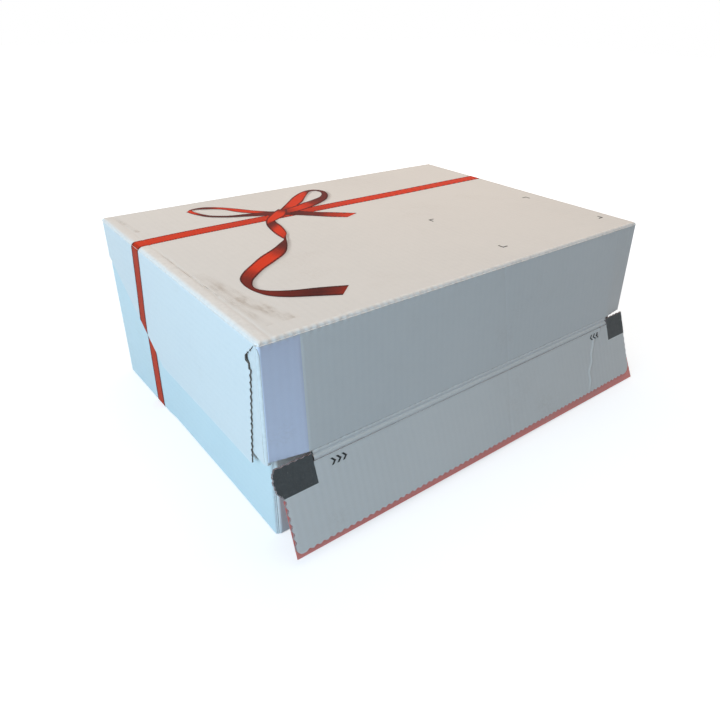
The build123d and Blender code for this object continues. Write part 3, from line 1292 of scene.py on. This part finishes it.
@dataclass
class Flap(Sheet):
    """The closure flap: wave-cut all round, with a gap for the strip and two dark squares."""

    grip: tuple[Point, ...] = (
        (-0.2222, -SLIT),
        (-0.2250, -5.0 * MM),
        (-0.2257, -12.0 * MM),
        (-0.2247, -20.0 * MM),
        (-0.2203, SQUARE_LOW),
    )

    def zone(self, u: float, v: float) -> Zone:
        """Return the zone: the two squares at the flap's upper corners are printed dark."""
        return Zone.PATCH if v > SQUARE_LOW and abs(u) > EAR else Zone.OUTSIDE

    def form(self, u: float, v: float) -> float:
        """Return the score below the tear strip, wrinkles by the right square and waviness.

        Args:
            u: place along the panel.
            v: place up the panel.

        Returns:
            How far the face stands out of the panel's plane.
        """
        score = 0.3 * MM * ridge(v, -STRIP_HEIGHT - 2.6 * MM, 1.8 * MM)
        wander = 5.0 * MM * noise.noise(Vector((0.0, v * 70, 5.0)))
        wander += 13 * MM * smooth(-0.021, -0.009, v)
        upright = -0.9 * MM * ridge(u, 0.1590 + 0.31 * (v + 0.03) + wander, 2.2 * MM)
        upright *= smooth(-0.076, -0.06, v)
        crumple = noise.noise(Vector((u * 130, v * 130, 3.0))) * 0.5 * MM
        crumple *= smooth(0.155, 0.185, u) * smooth(-0.045, -0.012, v)
        fold = 0.2 * MM * ridge(u, 0.030 + 0.15 * v, 3 * MM)
        lazy = 0.35 * MM * noise.noise(Vector((u * 14, v * 16, 8.0)))
        return -score - upright + min(0.0, crumple) - fold + min(0.0, lazy)

    def outline(self, bm: bmesh.types.BMesh) -> None:
        """Cut the gap for the strip, the grip tab, the rounded corners and the waves.

        Args:
            bm: the sheet, still flat.
        """
        low, right = self.v_span[0], self.u_span[1]
        left, heel = self.grip[-1]

        def outside(middle: Vector) -> bool:
            """Return whether a face is in the strip's gap or beyond the grip.

            Args:
                middle: the face's middle.

            Returns:
                Whether the face is taken away.
            """
            u, v = middle.x, middle.y
            if abs(u) < EAR and v > -STRIP_HEIGHT:
                return True
            for (u0, v0), (u1, v1) in zip(self.grip, self.grip[1:]):
                if v > v1:
                    return u < u0 + (u1 - u0) * (v0 - v) / (v0 - v1)
            return u < left

        for start, end in zip(self.grip, self.grip[1:]):
            cut_between(bm, start, end, clear=False)
        drop_faces(bm, outside)
        round_corner(bm, (left, low), (-1, -1), 5.0 * MM)
        round_corner(bm, (right, low), (1, -1), 9.5 * MM)
        for start, end, waves in (
            ((left + 7 * MM, low), (right - 12 * MM, low), WAVE_DEPTH),
            ((right, low + 12 * MM), (right, SQUARE_LOW), 0.8 * MM),
            ((left, heel), (left, low + 7 * MM), WAVE_DEPTH),
            *((start, end, 0.5 * MM) for start, end in zip(self.grip, self.grip[1:])),
            ((right, -SLIT), (EAR, -SLIT), 0.8 * MM),
            ((-EAR, -SLIT), (left, -SLIT), 0.8 * MM),
        ):
            wave_edge(bm, start, end, waves)


@dataclass
class TearStrip(Sheet):
    """The strip between the hinge crease and the flap: a raised bead with a score each side."""

    def form(self, u: float, v: float) -> float:
        """Return the bead and its scores."""
        groove = 1.2 * MM * ridge(v, -3.6 * MM, 1.9 * MM)
        return -groove - 0.7 * MM * ridge(v, -8.2 * MM, 1.5 * MM)

    def scallop(self, u: float, v: float) -> float:
        """Pinch the flutes at the hinge crease."""
        return 0.3 * MM * smooth(4 * MM, 0.0, self.v_span[1] - v) * self.ripple(u, v)


@dataclass
class SlottedSheet(Sheet):
    """The tray's bottom, with a window for each lock of the inner plies."""

    windows: tuple[tuple[float, float, float, float], ...] = ()

    def outline(self, bm: bmesh.types.BMesh) -> None:
        """Cut the windows, each given as its low U, high U, low V and high V."""
        for u0, u1, v0, v1 in self.windows:
            drop_faces(bm, lambda m: u0 < m.x < u1 and v0 < m.y < v1)


@dataclass
class TabSheet(Sheet):
    """A corner tab, tapered towards its tip."""

    tip_at_high_u: bool = True
    taper: float = 14 * MM

    def outline(self, bm: bmesh.types.BMesh) -> None:
        """Cut the two tapers.

        Args:
            bm: the sheet, still flat.
        """
        low, high = self.v_span
        sign = 1 if self.tip_at_high_u else -1
        tip = self.u_span[1] if self.tip_at_high_u else self.u_span[0]
        lean = self.taper / (self.u_span[1] - self.u_span[0])
        for edge, way in ((high - self.taper, 1.0), (low + self.taper, -1.0)):
            cut(bm, (tip, edge), (sign * lean, way))


# ---------------------------------------------------------------- printing


@dataclass(frozen=True)
class Rib:
    """One place along a drawn ribbon: its two edges, and the light its satin catches there."""

    first: Point
    second: Point
    tone: float = 0.9


def between(ribs: list[Rib], place: float) -> tuple[Vector, Vector, float]:
    """Return the two edges and the tone at a place along ribs, on a smooth curve through them.

    Args:
        ribs: ribs along the ribbon.
        place: the place, counted in ribs.

    Returns:
        The first edge, the second edge and the tone.
    """
    index = min(len(ribs) - 2, int(place))
    t = place - index
    near = [ribs[max(0, min(len(ribs) - 1, index + k))] for k in (-1, 0, 1, 2)]

    def curve(points: list[Vector]) -> Vector:
        """Return the place on the curve through four neighbouring points.

        Args:
            points: the four points.

        Returns:
            The place.
        """
        a, b, c, d = points
        square = (2 * a - 5 * b + 4 * c - d) * t**2
        cube = (3 * b - 3 * c + d - a) * t**3
        return 0.5 * (2 * b + (c - a) * t + square + cube)

    first = curve([Vector(rib.first) for rib in near])
    second = curve([Vector(rib.second) for rib in near])
    tone = near[1].tone + (near[2].tone - near[1].tone) * smooth(0.0, 1.0, t)
    return first, second, tone


def print_film(
    name: str,
    sheet: Sheet,
    ribs: list[Rib],
    ink: bpy.types.Material,
    layer: int = 1,
    columns: int = 6,
    shift: Point = (0.0, 0.0),
    widen: float = 0.0,
) -> bpy.types.Object:
    """Print a ribbon on a sheet as a film of ink that follows its relief.

    Args:
        name: name of the piece.
        sheet: the panel that is printed.
        ribs: edges along the ribbon, in millimetres of the sheet's U and V.
        ink: its material.
        layer: how many layers of ink lie under its face.
        columns: faces across the ribbon.
        shift: how far the print is moved, in millimetres.
        widen: how far each edge is pushed out, in millimetres.

    Returns:
        The film.
    """
    run = sum((Vector(a.first) - Vector(b.first)).length for a, b in zip(ribs, ribs[1:]))
    rows = max(len(ribs) * 4, round(run / FILM_STEP))
    bm = bmesh.new()
    bmesh.ops.create_grid(bm, x_segments=columns, y_segments=rows, size=0.5)
    uv = bm.loops.layers.uv.new("ribbon")
    tone = bm.verts.layers.float.new("tone")
    flat = {}
    for vert in bm.verts:
        across, along = vert.co.x + 0.5, vert.co.y + 0.5
        flat[vert] = (across, along * run / 10)
        first, second, lit = between(ribs, along * (len(ribs) - 1))
        side = (second - first).normalized() * widen
        first, second = first - side, second + side
        place = first.lerp(second, across) + Vector(shift)
        vert[tone] = lit
        vert.co = sheet.skin(place.x * MM, place.y * MM, INK * layer)
    for face in bm.faces:
        face.smooth = True
        for loop in face.loops:
            loop[uv].uv = flat[loop.vert]
    bm.normal_update()
    if bm.faces[:][0].normal.dot(sheet.out) < 0:
        bmesh.ops.reverse_faces(bm, faces=bm.faces)
    film = add_object(name, bm, [ink])
    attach(film, sheet.body)
    return film


# The bow's parts in the order of printing: name, layer of ink, and ribs. A rib is X and Y of its
# first edge, X and Y of its second edge, and its tone, in millimetres on the lid.
BOW = (
    ("bow_tail", 3, (
        (-91, 66, -74, 72, 0.15), (-98, 50, -83, 60, 0.3), (-103, 27, -86, 42, 0.9),
        (-104, 12, -92, 23, 0.8), (-105, 6, -99, 12, 0.3), (-115, -2, -111, -11, 0.25),
        (-127, -11, -123, -27, 0.6), (-145, -22, -140, -39, 1.0), (-160, -34, -156, -49, 0.9),
        (-174, -46, -168, -59, 0.6), (-183, -58, -176, -67, 0.45), (-186, -72, -181, -77, 0.4),
        (-185, -86, -180, -85, 0.42), (-180, -100, -173, -93, 0.45), (-169, -111, -160, -101, 0.3),
        (-151, -122, -140, -109, 0.2), (-134, -132, -119, -119, 0.55),
    )),
    ("bow_short_tail", 3, (
        (-56, 88, -68, 76, 0.3), (-46, 79, -55, 66, 0.25), (-33.5, 65.5, -42, 53.5, 0.35),
        (-19, 53.5, -29, 40.5, 0.65), (2.1, 35.5, -14.9, 29.1, 0.85),
    )),
    ("bow_loop_left_far", 4, (
        (-143, 140, -140, 138, 0.9), (-136, 146, -135, 143, 0.25), (-122, 146, -125, 139, 0.3),
        (-107, 135.5, -110, 128.5, 0.75), (-94.5, 121, -100, 110, 0.85),
        (-83, 105.5, -88, 96, 0.85), (-72, 94, -76, 88, 0.5), (-64, 89, -69, 84, 0.35),
    )),
    ("bow_loop_left_near", 5, (
        (-137, 143, -144, 140, 0.95), (-137, 134, -142, 131, 0.85), (-132, 120, -136, 116, 0.3),
        (-126.5, 112.6, -129.5, 108.2, 0.2), (-113, 103.5, -115.5, 98.3, 0.2),
        (-96, 99, -100, 91, 0.25), (-80, 94, -86, 84, 0.35), (-68, 91, -74, 80, 0.4),
    )),
    ("bow_loop_right", 4, (
        (-66, 86, -56, 72, 0.4), (-55, 96, -50, 81, 0.6), (-39, 111, -39, 92, 0.95),
        (-21, 128, -23, 105, 0.95), (-3, 140, -9, 121, 0.85), (9, 143, 6, 136, 0.3),
        (17, 140, 14, 136.5, 0.2), (21, 133, 17, 131, 0.25),
    )),
    ("bow_loop_right_near", 5, (
        (19, 138, 15, 134, 0.2), (22, 129, 16, 128, 0.3), (19, 117, 12, 119, 0.3),
        (12, 106, 4, 111, 0.3), (3, 97, -7, 106, 0.35), (-12, 88, -16, 103, 0.5),
        (-26, 82, -24, 101, 0.75), (-39, 78, -36, 96, 0.9), (-56, 76, -56, 90, 0.6),
    )),
)
KNOT = (
    (-60, 95, -53, 88, 0.45), (-74, 84, -64, 72, 0.95), (-87, 71, -76, 65, 1.0),
    (-96, 55, -86, 60, 0.6),
)

# The straight ribbon's middle on the lid, as X, Y and its tone.
STRAIGHT = (
    (-225, 67, 0.85), (-180, 69.5, 0.85), (-120, 70.3, 0.8), (-40, 70.7, 0.75), (60, 70.5, 0.9),
    (225, 71, 0.85),
)


@dataclass
class BowPrint:
    """The printed bow and ribbon: two loops, a knot, a long curled tail and a short one."""

    top: Sheet
    parts: tuple[tuple[str, int, Rows], ...] = BOW
    knot: Rows = KNOT
    straight: Rows = STRAIGHT
    ribbon_half: float = 8.4
    slip: Point = (2.4, 4.2)
    shadow_shift: Point = (1.8, -3.0)
    shadow_spread: float = 2.4

    def moved(self, x: float, y: float) -> Point:
        """Return where a place of the artwork lies on the lid, a little off its plan."""
        share = 0.62 + 0.0028 * y
        return (x - self.slip[0] * share, y - self.slip[1] * share)

    def ribs(self, rows: Rows) -> list[Rib]:
        """Return the ribs of a part, moved to where the artwork lies."""
        return [Rib(self.moved(*row[:2]), self.moved(*row[2:4]), row[4]) for row in rows]

    def shadow(self, name: str, ribs: list[Rib], ink: bpy.types.Material) -> None:
        """Print the soft shadow beside a part of the bow.

        Args:
            name: the part's name.
            ribs: the part's ribs.
            ink: the shadow's material.
        """
        soft = [replace(rib, tone=1.0) for rib in ribs]
        for end in (0, -1):
            soft[end] = replace(ribs[end], tone=0.0)
        shift, spread = self.shadow_shift, self.shadow_spread
        print_film(f"{name}_shadow", self.top, soft, ink, 1, 10, shift, spread)

    def build(self, finishes: Finishes) -> None:
        """Print each part of the bow with its shadow, then the knot and the straight ribbon.

        Args:
            finishes: every finish of the box.
        """
        for name, layer, rows in self.parts:
            ribs = self.ribs(rows)
            ink = finishes.stitched if name == "bow_short_tail" else finishes.ribbon
            print_film(name, self.top, ribs, ink, layer)
            self.shadow(name, ribs, finishes.shadow)
        print_film("bow_knot", self.top, self.ribs(self.knot), finishes.ribbon, 6)
        half = self.ribbon_half
        ribs = [Rib((x, y + half), (x, y - half), tone) for x, y, tone in self.straight]
        print_film("ribbon_top", self.top, ribs, finishes.stitched, 2, 10)
        log.info("bow and ribbon printed")


@dataclass
class LidDirt:
    """Dirt from handling on the lid: in the score line beside the left crease, and beyond it.

    Each patch is a name, the places it runs through, half its width and its strength.
    """

    top: Sheet
    patches: tuple[tuple[str, Rows, float, float], ...] = (
        ("score_dirt_rear", ((-213, 155), (-211, 126), (-209, 100)), 3.2, 0.7),
        ("score_dirt_front", ((-214, 50), (-213, -40), (-212, -80)), 1.3, 1.4),
        ("score_smear", ((-208, -30), (-203, -75), (-196, -115), (-188, -145)), 9.0, 0.8),
        ("front_smear", ((-212, -60), (-209, -100), (-205, -145)), 4.5, 0.5),
    )

    def build(self, finishes: Finishes) -> None:
        """Lay the dirt as thin patches that fade at their borders.

        Args:
            finishes: every finish of the box.
        """
        for name, run, half, tone in self.patches:
            ribs = [Rib((x - half, y), (x + half, y), tone) for x, y in run]
            ribs[0] = replace(ribs[0], tone=0.1)
            print_film(name, self.top, ribs, finishes.dirt, 1, 10)


@dataclass
class LabelMarks:
    """Four small corner marks on the lid that say where the address label goes.

    Each corner is its X and Y, and the way its arms run along X and Y.
    """

    top: Sheet
    corners: Rows = (
        (48.7, -30.1, 1, -1), (48.6, -132.7, 1, 1), (202.7, -30.9, -1, -1), (208.2, -132.1, -1, 1)
    )
    arm: float = 6.0
    half: float = 0.85

    def build(self, finishes: Finishes) -> None:
        """Print two short arms at each corner.

        Args:
            finishes: every finish of the box.
        """
        for number, (x, y, way_x, way_y) in enumerate(self.corners):
            for label, reach_x, reach_y in (("a", self.arm, 0.0), ("b", 0.0, self.arm)):
                off_x, off_y = (0.0, self.half) if reach_x else (self.half, 0.0)
                start = (x - way_x * off_y, y - way_y * off_x)
                end = (x + way_x * reach_x, y + way_y * reach_y)
                ribs = [
                    Rib((px - off_x, py - off_y), (px + off_x, py + off_y))
                    for px, py in (start, end)
                ]
                print_film(f"label_mark_{number}{label}", self.top, ribs, finishes.mark, 1, 1)


@dataclass
class OpeningArrows:
    """Plain chevrons at the two ends of the tear strip, pointing along it."""

    flap: Sheet
    height: float = 5.8
    weight: float = 2.0
    spacing: float = 5.2
    low: float = -17.6
    starts: tuple[tuple[str, int, float], ...] = (("left", 1, -176.5), ("right", -1, 161.0))

    def build(self, finishes: Finishes) -> None:
        """Print three chevrons pointing right at the left end and three pointing left.

        Args:
            finishes: every finish of the box.
        """
        for side, way, start in self.starts:
            for number in range(3):
                x = start + number * self.spacing
                tip, middle = x + way * self.height * 0.5, self.low + self.height / 2
                for part, end, past in (
                    ("low", self.low, 0.3), ("high", self.low + self.height, -0.3)
                ):
                    places = ((x, end), (tip, middle + past))
                    ribs = [Rib((px, py), (px + self.weight, py)) for px, py in places]
                    name = f"arrow_{side}_{number}_{part}"
                    print_film(name, self.flap, ribs, finishes.mark, 5, 2)


# ---------------------------------------------------------------- sub-assemblies


def side_face(
    node: str, right: bool, front: float = 0.0, foot: float = 0.0, rear: float | None = None
) -> dict:
    """Return where a sheet lies that faces out of the left or right side of an upright plate.

    Args:
        node: the plate.
        right: whether the sheet faces right.
        front: how much further forward than the plate it runs.
        foot: how much lower than the plate it hangs.
        rear: Y of its rear end, or None for the plate's own.

    Returns:
        The origin, the two ways and the two spans of the sheet.
    """
    low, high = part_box(node)
    start, end = low.y - front, high.y if rear is None else rear
    return {
        "origin": Vector((high.x if right else low.x, 0, 0)),
        "along": Y if right else -Y,
        "up": Z,
        "u_span": (start, end) if right else (-end, -start),
        "v_span": (low.z - foot, high.z),
    }


@dataclass
class Tray:
    """The tray: bottom, front and rear walls, and side walls of two plies over corner tabs."""

    lock_reach: float = 0.085  # from a side wall's middle to each of its two locks
    lock_width: float = 0.0452
    lock_play: float = 0.1 * MM
    roll: float = 1.9 * MM  # radius of the rolled creases at the foot and the rims
    ribbon_half: float = 8.9
    ribbon_run: Rows = ((75.5, 1.0), (74.0, 65.0), (69.0, 172.0))

    def bottom(self) -> Sheet:
        """Return the bottom panel, seen from below."""
        low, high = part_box("bottom_panel")
        windows = []
        for side in ("left", "right"):
            lock_low, lock_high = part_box(f"{side}_wall_inner")
            middle = (lock_low.y + lock_high.y) / 2
            for sign in (-1, 1):
                start = middle + sign * self.lock_reach - self.lock_width / 2
                across = (lock_low.x - self.lock_play, lock_high.x + self.lock_play)
                windows.append((*across, -start - self.lock_width, -start))
        return SlottedSheet(
            "tray_bottom", "tray", "bottom_panel",
            Vector((0, 0, low.z)), X, -Y, (low.x, high.x), (-high.y, -low.y),
            u_step=TRAY_STEP, v_step=8 * MM, thickness=high.z - low.z,
            marks_u=tuple(sorted({u for window in windows for u in window[:2]})),
            marks_v=tuple(sorted({v for window in windows for v in window[2:]})),
            fold_u=(True, True), fold_v=(True, True),
            seed=1.0, warp=tray_bow, windows=tuple(windows),
        )

    def end_wall(self, node: str, front: bool) -> Sheet:
        """Return the front or rear wall.

        Args:
            node: the plain plate that the sheet stands for.
            front: whether it is the front wall.

        Returns:
            The wall.
        """
        low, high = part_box(node)
        return Sheet(
            f"tray_{node}", "tray", node,
            Vector((0, low.y if front else high.y, 0)), X if front else -X, Z,
            (low.x, high.x), (low.z, high.z), u_step=TRAY_STEP, v_step=6 * MM,
            roll_u=(BOARD, BOARD), roll_v=(self.roll, 0.0),
            seed=2.0 if front else 3.0, warp=tray_bow,
        )

    def side_ply(self, side: int, name: str, node: str, outward: bool) -> Sheet:
        """Return an upright ply of a side wall, with its clean face out of or into the tray.

        Args:
            side: -1 for the left side and 1 for the right.
            name: the end of the name of the piece.
            node: the plain plate that the sheet stands for.
            outward: whether its clean face looks out of the box.

        Returns:
            The ply.
        """
        low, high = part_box(node)
        return Sheet(
            f"tray_{name}", "tray", node, **side_face(node, (side > 0) == outward),
            u_step=6 * MM, v_step=TRAY_STEP, thickness=high.x - low.x, flutes=Flutes.ALONG_V,
            fold_v=(outward, True),
            roll_u=(BOARD, BOARD) if outward else (0.0, 0.0),
            roll_v=(self.roll, 0.0) if outward else (0.0, 0.0),
            seed=4.0 + side, warp=tray_bow,
        )

    def rim(self, side: int, name: str) -> Sheet:
        """Return the rolled rim over a side wall.

        Args:
            side: -1 for the left side and 1 for the right.
            name: "left" or "right".

        Returns:
            The rim.
        """
        low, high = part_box(f"{name}_wall_rim")
        middle = (low.x + high.x) / 2
        return Sheet(
            f"tray_{name}_rim", "tray", f"{name}_wall_rim",
            Vector((middle, 0, high.z)), X, Y, (low.x - middle, high.x - middle), (low.y, high.y),
            u_step=1.4 * MM, v_step=6 * MM, thickness=high.z - low.z, washboard=0.0,
            roll_u=(self.roll, self.roll), seed=7.0 + side, both_white=True, warp=tray_bow,
        )

    def tab(self, side: int, end: str, name: str) -> Sheet:
        """Return a corner tab.

        Args:
            side: -1 for the left side and 1 for the right.
            end: "front" or "rear".
            name: "left" or "right".

        Returns:
            The tab.
        """
        node, right = f"{end}_{name}_tab", side > 0
        return TabSheet(
            f"tray_{node}", "tray", node, **side_face(node, right), v_step=1.4 * MM,
            seed=9.0 + side, warp=tray_bow, tip_at_high_u=(end == "front") == right,
        )

    def build(self, finishes: Finishes) -> None:
        """Build the tray and print its ribbon.

        Args:
            finishes: every finish of the box.
        """
        self.bottom().build(finishes)
        self.end_wall("front_wall", True).build(finishes)
        self.end_wall("rear_wall", False).build(finishes)
        half = self.ribbon_half
        for side, name in ((-1, "left"), (1, "right")):
            outer = self.side_ply(side, f"{name}_wall", f"{name}_wall_outer", True)
            # The side wall's outer face takes the painted cool shade.
            outer.build(finishes, [finishes.painted_cool_shade, *finishes.board()[1:]])
            inner = self.side_ply(side, f"{name}_inner_ply", f"{name}_wall_inner", False)
            inner.build(finishes)
            self.rim(side, name).build(finishes)
            for end in ("front", "rear"):
                self.tab(side, end, name).build(finishes)
            run = [(side * y, z) for y, z in self.ribbon_run]
            ribs = [Rib((u - half, z), (u + half, z), 0.75) for u, z in run]
            print_film(f"ribbon_tray_{name}", outer, ribs, finishes.ribbon, 5, 10)
        log.info("tray built")


@dataclass
class Lid:
    """The lid: top, front panel, two side panels and the wings behind them.

    `side_ribbon` gives Z, the Y of the middle and half the width of the ribbon on a side panel, in
    millimetres. A Z of 0 stands for the panel's rear diagonal.
    """

    front_reach: float = 2.5 * MM
    wing_front: float = 0.8 * MM
    wing_foot: float = 4 * MM
    side_ribbon: Rows = (
        (178.5, 66.6, 8.8), (165.0, 69.0, 8.8), (140.0, 73.3, 8.7), (110.0, 78.4, 8.6),
        (0.0, 81.0, 8.3),
    )

    def top(self) -> Sheet:
        """Return the top."""
        low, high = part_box("lid_top")
        return LidTop(
            "lid_top_panel", "lid", "lid_top",
            Vector((0, 0, high.z)), X, Y, (low.x, high.x), (low.y, high.y),
            u_step=LID_STEP, v_step=5 * MM,
            roll_u=(RIDGE_SIDE, RIDGE_RIGHT), roll_v=(RIDGE_FRONT, 0.7 * MM),
            crush=0.0, seed=11.0,
        )

    def front(self) -> Sheet:
        """Return the front panel, which runs out to the side panels' faces."""
        (low, high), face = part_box("lid_front_panel"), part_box("lid_top")[0].y
        return LidFront(
            "lid_front", "lid", "lid_front_panel",
            Vector((0, face, 0)), X, Z,
            (low.x - self.front_reach, high.x + self.front_reach),
            (low.z - LidFront.hang, high.z + 0.25 * MM),
            u_step=LID_STEP, v_step=4 * MM, marks_u=(-LidFront.bend, LidFront.bend),
            roll_u=(BOARD, 1.2 * MM), fold_v=(True, True),
            washboard=0.025 * MM, crush=0.0, seed=12.0,
        )

    def side(self, side: int, name: str) -> Sheet:
        """Return a side panel.

        Args:
            side: -1 for the left side and 1 for the right.
            name: "left" or "right".

        Returns:
            The panel.
        """
        node, right = f"lid_{name}_panel", side > 0
        return LidSide(
            f"lid_{name}_side", "lid", node, **side_face(node, right, rear=LID_REAR),
            v_step=LID_STEP, flutes=Flutes.ALONG_V, fold_v=(False, True), washboard=0.03 * MM,
            crush=0.0, seed=13.0 + side, toward_front=-side,
            ridge=RIDGE_RIGHT if right else RIDGE_SIDE,
        )

    def wing(self, side: int, name: str) -> Sheet:
        """Return the wing behind a side panel.

        Args:
            side: -1 for the left side and 1 for the right.
            name: "left" or "right".

        Returns:
            The wing.
        """
        node, right = f"lid_{name}_wing", side > 0
        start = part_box(node)[0].y
        return Wing(
            f"lid_{name}_wing_panel", "lid", node,
            **side_face(node, right, front=self.wing_front, foot=self.wing_foot),
            u_step=3 * MM, v_step=TRAY_STEP, flutes=Flutes.ALONG_V,
            marks_u=tuple(side * (start + step * 0.5 * MM) for step in range(-1, 6)),
            fold_u=(right, not right), seed=15.0 + side, warp=wing_bow, toward_front=-side,
        )

    def build(self, finishes: Finishes) -> None:
        """Build the lid and print its bow, its ribbon and its label marks.

        Args:
            finishes: every finish of the box.
        """
        top = self.top()
        top.build(finishes)
        # The front panel's left end takes the painted lilac light.
        self.front().build(finishes, [*finishes.board()[:3], finishes.painted_lilac_light])
        for side, name in ((-1, "left"), (1, "right")):
            panel = self.side(side, name)
            panel.build(finishes)
            self.wing(side, name).build(finishes)
            ribs = []
            for z, middle, half in self.side_ribbon:
                edges = (middle - half, middle + half)
                ends = [(y * side, z or 1000 * rear_diagonal(y * MM)) for y in edges]
                ribs.append(Rib(*ends, 0.7))
            print_film(f"ribbon_lid_{name}", panel, ribs, finishes.ribbon, 1, 10)
        BowPrint(top).build(finishes)
        LabelMarks(top).build(finishes)
        LidDirt(top).build(finishes)
        log.info("lid built")


@dataclass
class ClosureFlap:
    """The closure flap with its tear strip and tape, its glue and the liner over the glue."""

    lean: float = math.radians(20)
    length: float = 72.5 * MM
    strip_half: float = 0.1895

    def plane(self) -> dict[str, Vector]:
        """Return the flap's origin at its hinge, and its two ways."""
        hinge = next(joint for joint in frame["joints"] if joint["name"] == "flap_hinge")
        up = Vector((0, math.sin(self.lean), math.cos(self.lean)))
        return {"origin": Vector(hinge["pos_m"]), "along": X, "up": up}

    def flap(self) -> Sheet:
        """Return the flap."""
        low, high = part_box("closure_flap")
        return Flap(
            "flap_panel", "flap", "closure_flap", **self.plane(),
            u_span=(low.x, high.x), v_span=(-self.length, -SLIT),
            u_step=LID_STEP, v_step=1.3 * MM,
            marks_u=(Flap.grip[-1][0], -EAR, EAR), marks_v=(SQUARE_LOW, -STRIP_HEIGHT),
            washboard=0.06 * MM, crush=0.0, seed=17.0,
        )

    def strip(self) -> Sheet:
        """Return the tear strip."""
        return TearStrip(
            "tear_strip_board", "flap", "tear_strip", **self.plane(),
            u_span=(-self.strip_half, self.strip_half), v_span=(-STRIP_HEIGHT, 0.5 * MM),
            u_step=LID_STEP, v_step=0.6 * MM, crush=0.0, roll_v=(0.0, 0.8 * MM), seed=18.0,
        )

    def build(self, finishes: Finishes) -> None:
        """Build the flap and its strip, and dress the films on its inner face.

        Args:
            finishes: every finish of the box.
        """
        flap = self.flap()
        # Its cut edge carries the painted red light.
        flap.build(finishes, [*finishes.board()[:2], finishes.flap_edge_painted_red_light, finishes.square])
        self.strip().build(finishes)
        OpeningArrows(flap).build(finishes)
        for node, material in (
            ("tear_tape", finishes.tape),
            ("glue_strip", finishes.glue),
            ("release_liner", finishes.liner),
        ):
            mesh = frame["nodes"][node].data
            mesh.materials.clear()
            mesh.materials.append(material)
        log.info("closure flap built")


# ---------------------------------------------------------------- setting


def seen(s: Shader) -> Socket:
    """Return 1 for a ray from the camera, straight, reflected or let through, else 0.

    Args:
        s: the nodes that the mask goes into.

    Returns:
        The mask.
    """
    path = s.add("LightPath").outputs
    mask = s.math("MAXIMUM", path["Is Camera Ray"], path["Is Glossy Ray"])
    return s.math("MAXIMUM", mask, path["Is Transmission Ray"])


@dataclass
class Setting:
    """The floor, the light and the camera."""

    camera_place: Point3 = (-0.38366, -0.49017, 0.37631)
    camera_turn: Point3 = (62.683, -1.331, -38.963)
    lens: float = 31.02
    shift: Point = (-0.0404, -0.0464)
    aim: Point3 = (0.0, 0.0, 0.09)

    def floor(self) -> None:
        """Lay a pale floor that looks white, and keeps the object's shadow."""
        bm = bmesh.new()
        bmesh.ops.create_grid(bm, x_segments=8, y_segments=8, size=6.0)
        s = Surface("floor_white")
        away = s.add("VectorMath", {0: s.place["Object"]}, operation="LENGTH").outputs["Value"]
        glow = s.span(away, 0.35, 1.1, 0.70, 1.2)
        material = s.finish(
            {
                "Base Color": (0.44, 0.50, 0.56, 1.0),
                "Roughness": 0.9,
                "Specular IOR Level": 0.0,
                "Emission Strength": s.math("MULTIPLY", seen(s), glow),
                "Emission Color": WHITE,
            }
        )
        add_object("floor", bm, [material])

    def world(self) -> None:
        """Surround the object with plain soft light, seen as white."""
        world = bpy.data.worlds.new("studio")
        bpy.context.scene.world = world
        world.use_nodes = True
        s = Shader(world.node_tree)
        eye = seen(s)
        light = {
            "Color": s.blend(eye, (0.78, 0.88, 0.96, 1.0), WHITE),
            "Strength": s.span(eye, 0.0, 1.0, 0.315, 1.0),
        }
        s.plug(world.node_tree.nodes["Background"], light)

    def lamp(self, name: str, place: Point3, size: float, power: float, tint: Point3) -> None:
        """Hang a square soft lamp that looks at the box.

        Args:
            name: the lamp's name.
            place: where it hangs.
            size: length of its side.
            power: power in watts.
            tint: colour of its light.
        """
        data = bpy.data.lights.new(name, "AREA")
        data.size, data.energy, data.color = size, power, tint
        lamp = bpy.data.objects.new(name, data)
        lamp.location = place
        look = Vector(self.aim) - Vector(place)
        lamp.rotation_euler = look.to_track_quat("-Z", "Y").to_euler()
        bpy.context.scene.collection.objects.link(lamp)

    def build(self) -> None:
        """Set the floor, the world, the lamps and the camera."""
        self.floor()
        self.world()
        self.lamp("overhead", (0.25, 0.35, 1.7), 1.6, 17.6, (1.0, 0.75, 0.53))
        self.lamp("window", (-1.30, -0.30, 0.40), 1.0, 12.6, (0.57, 0.86, 1.06))
        data = bpy.data.cameras.new("camera")
        data.sensor_width, data.lens = 36.0, self.lens
        data.shift_x, data.shift_y = self.shift
        data.clip_start, data.clip_end = 0.01, 50.0
        camera = bpy.data.objects.new("camera", data)
        camera.location = self.camera_place
        camera.rotation_euler = [math.radians(angle) for angle in self.camera_turn]
        bpy.context.scene.collection.objects.link(camera)
        bpy.context.scene.camera = camera
        bpy.context.scene.view_settings.view_transform = "Standard"


def main() -> None:
    """Build the box and its setting."""
    logging.basicConfig(level=logging.INFO, format="%(name)s: %(message)s")
    finishes = Finishes()
    Tray().build(finishes)
    Lid().build(finishes)
    ClosureFlap().build(finishes)
    Setting().build()


if __name__ == "__main__":
    main()
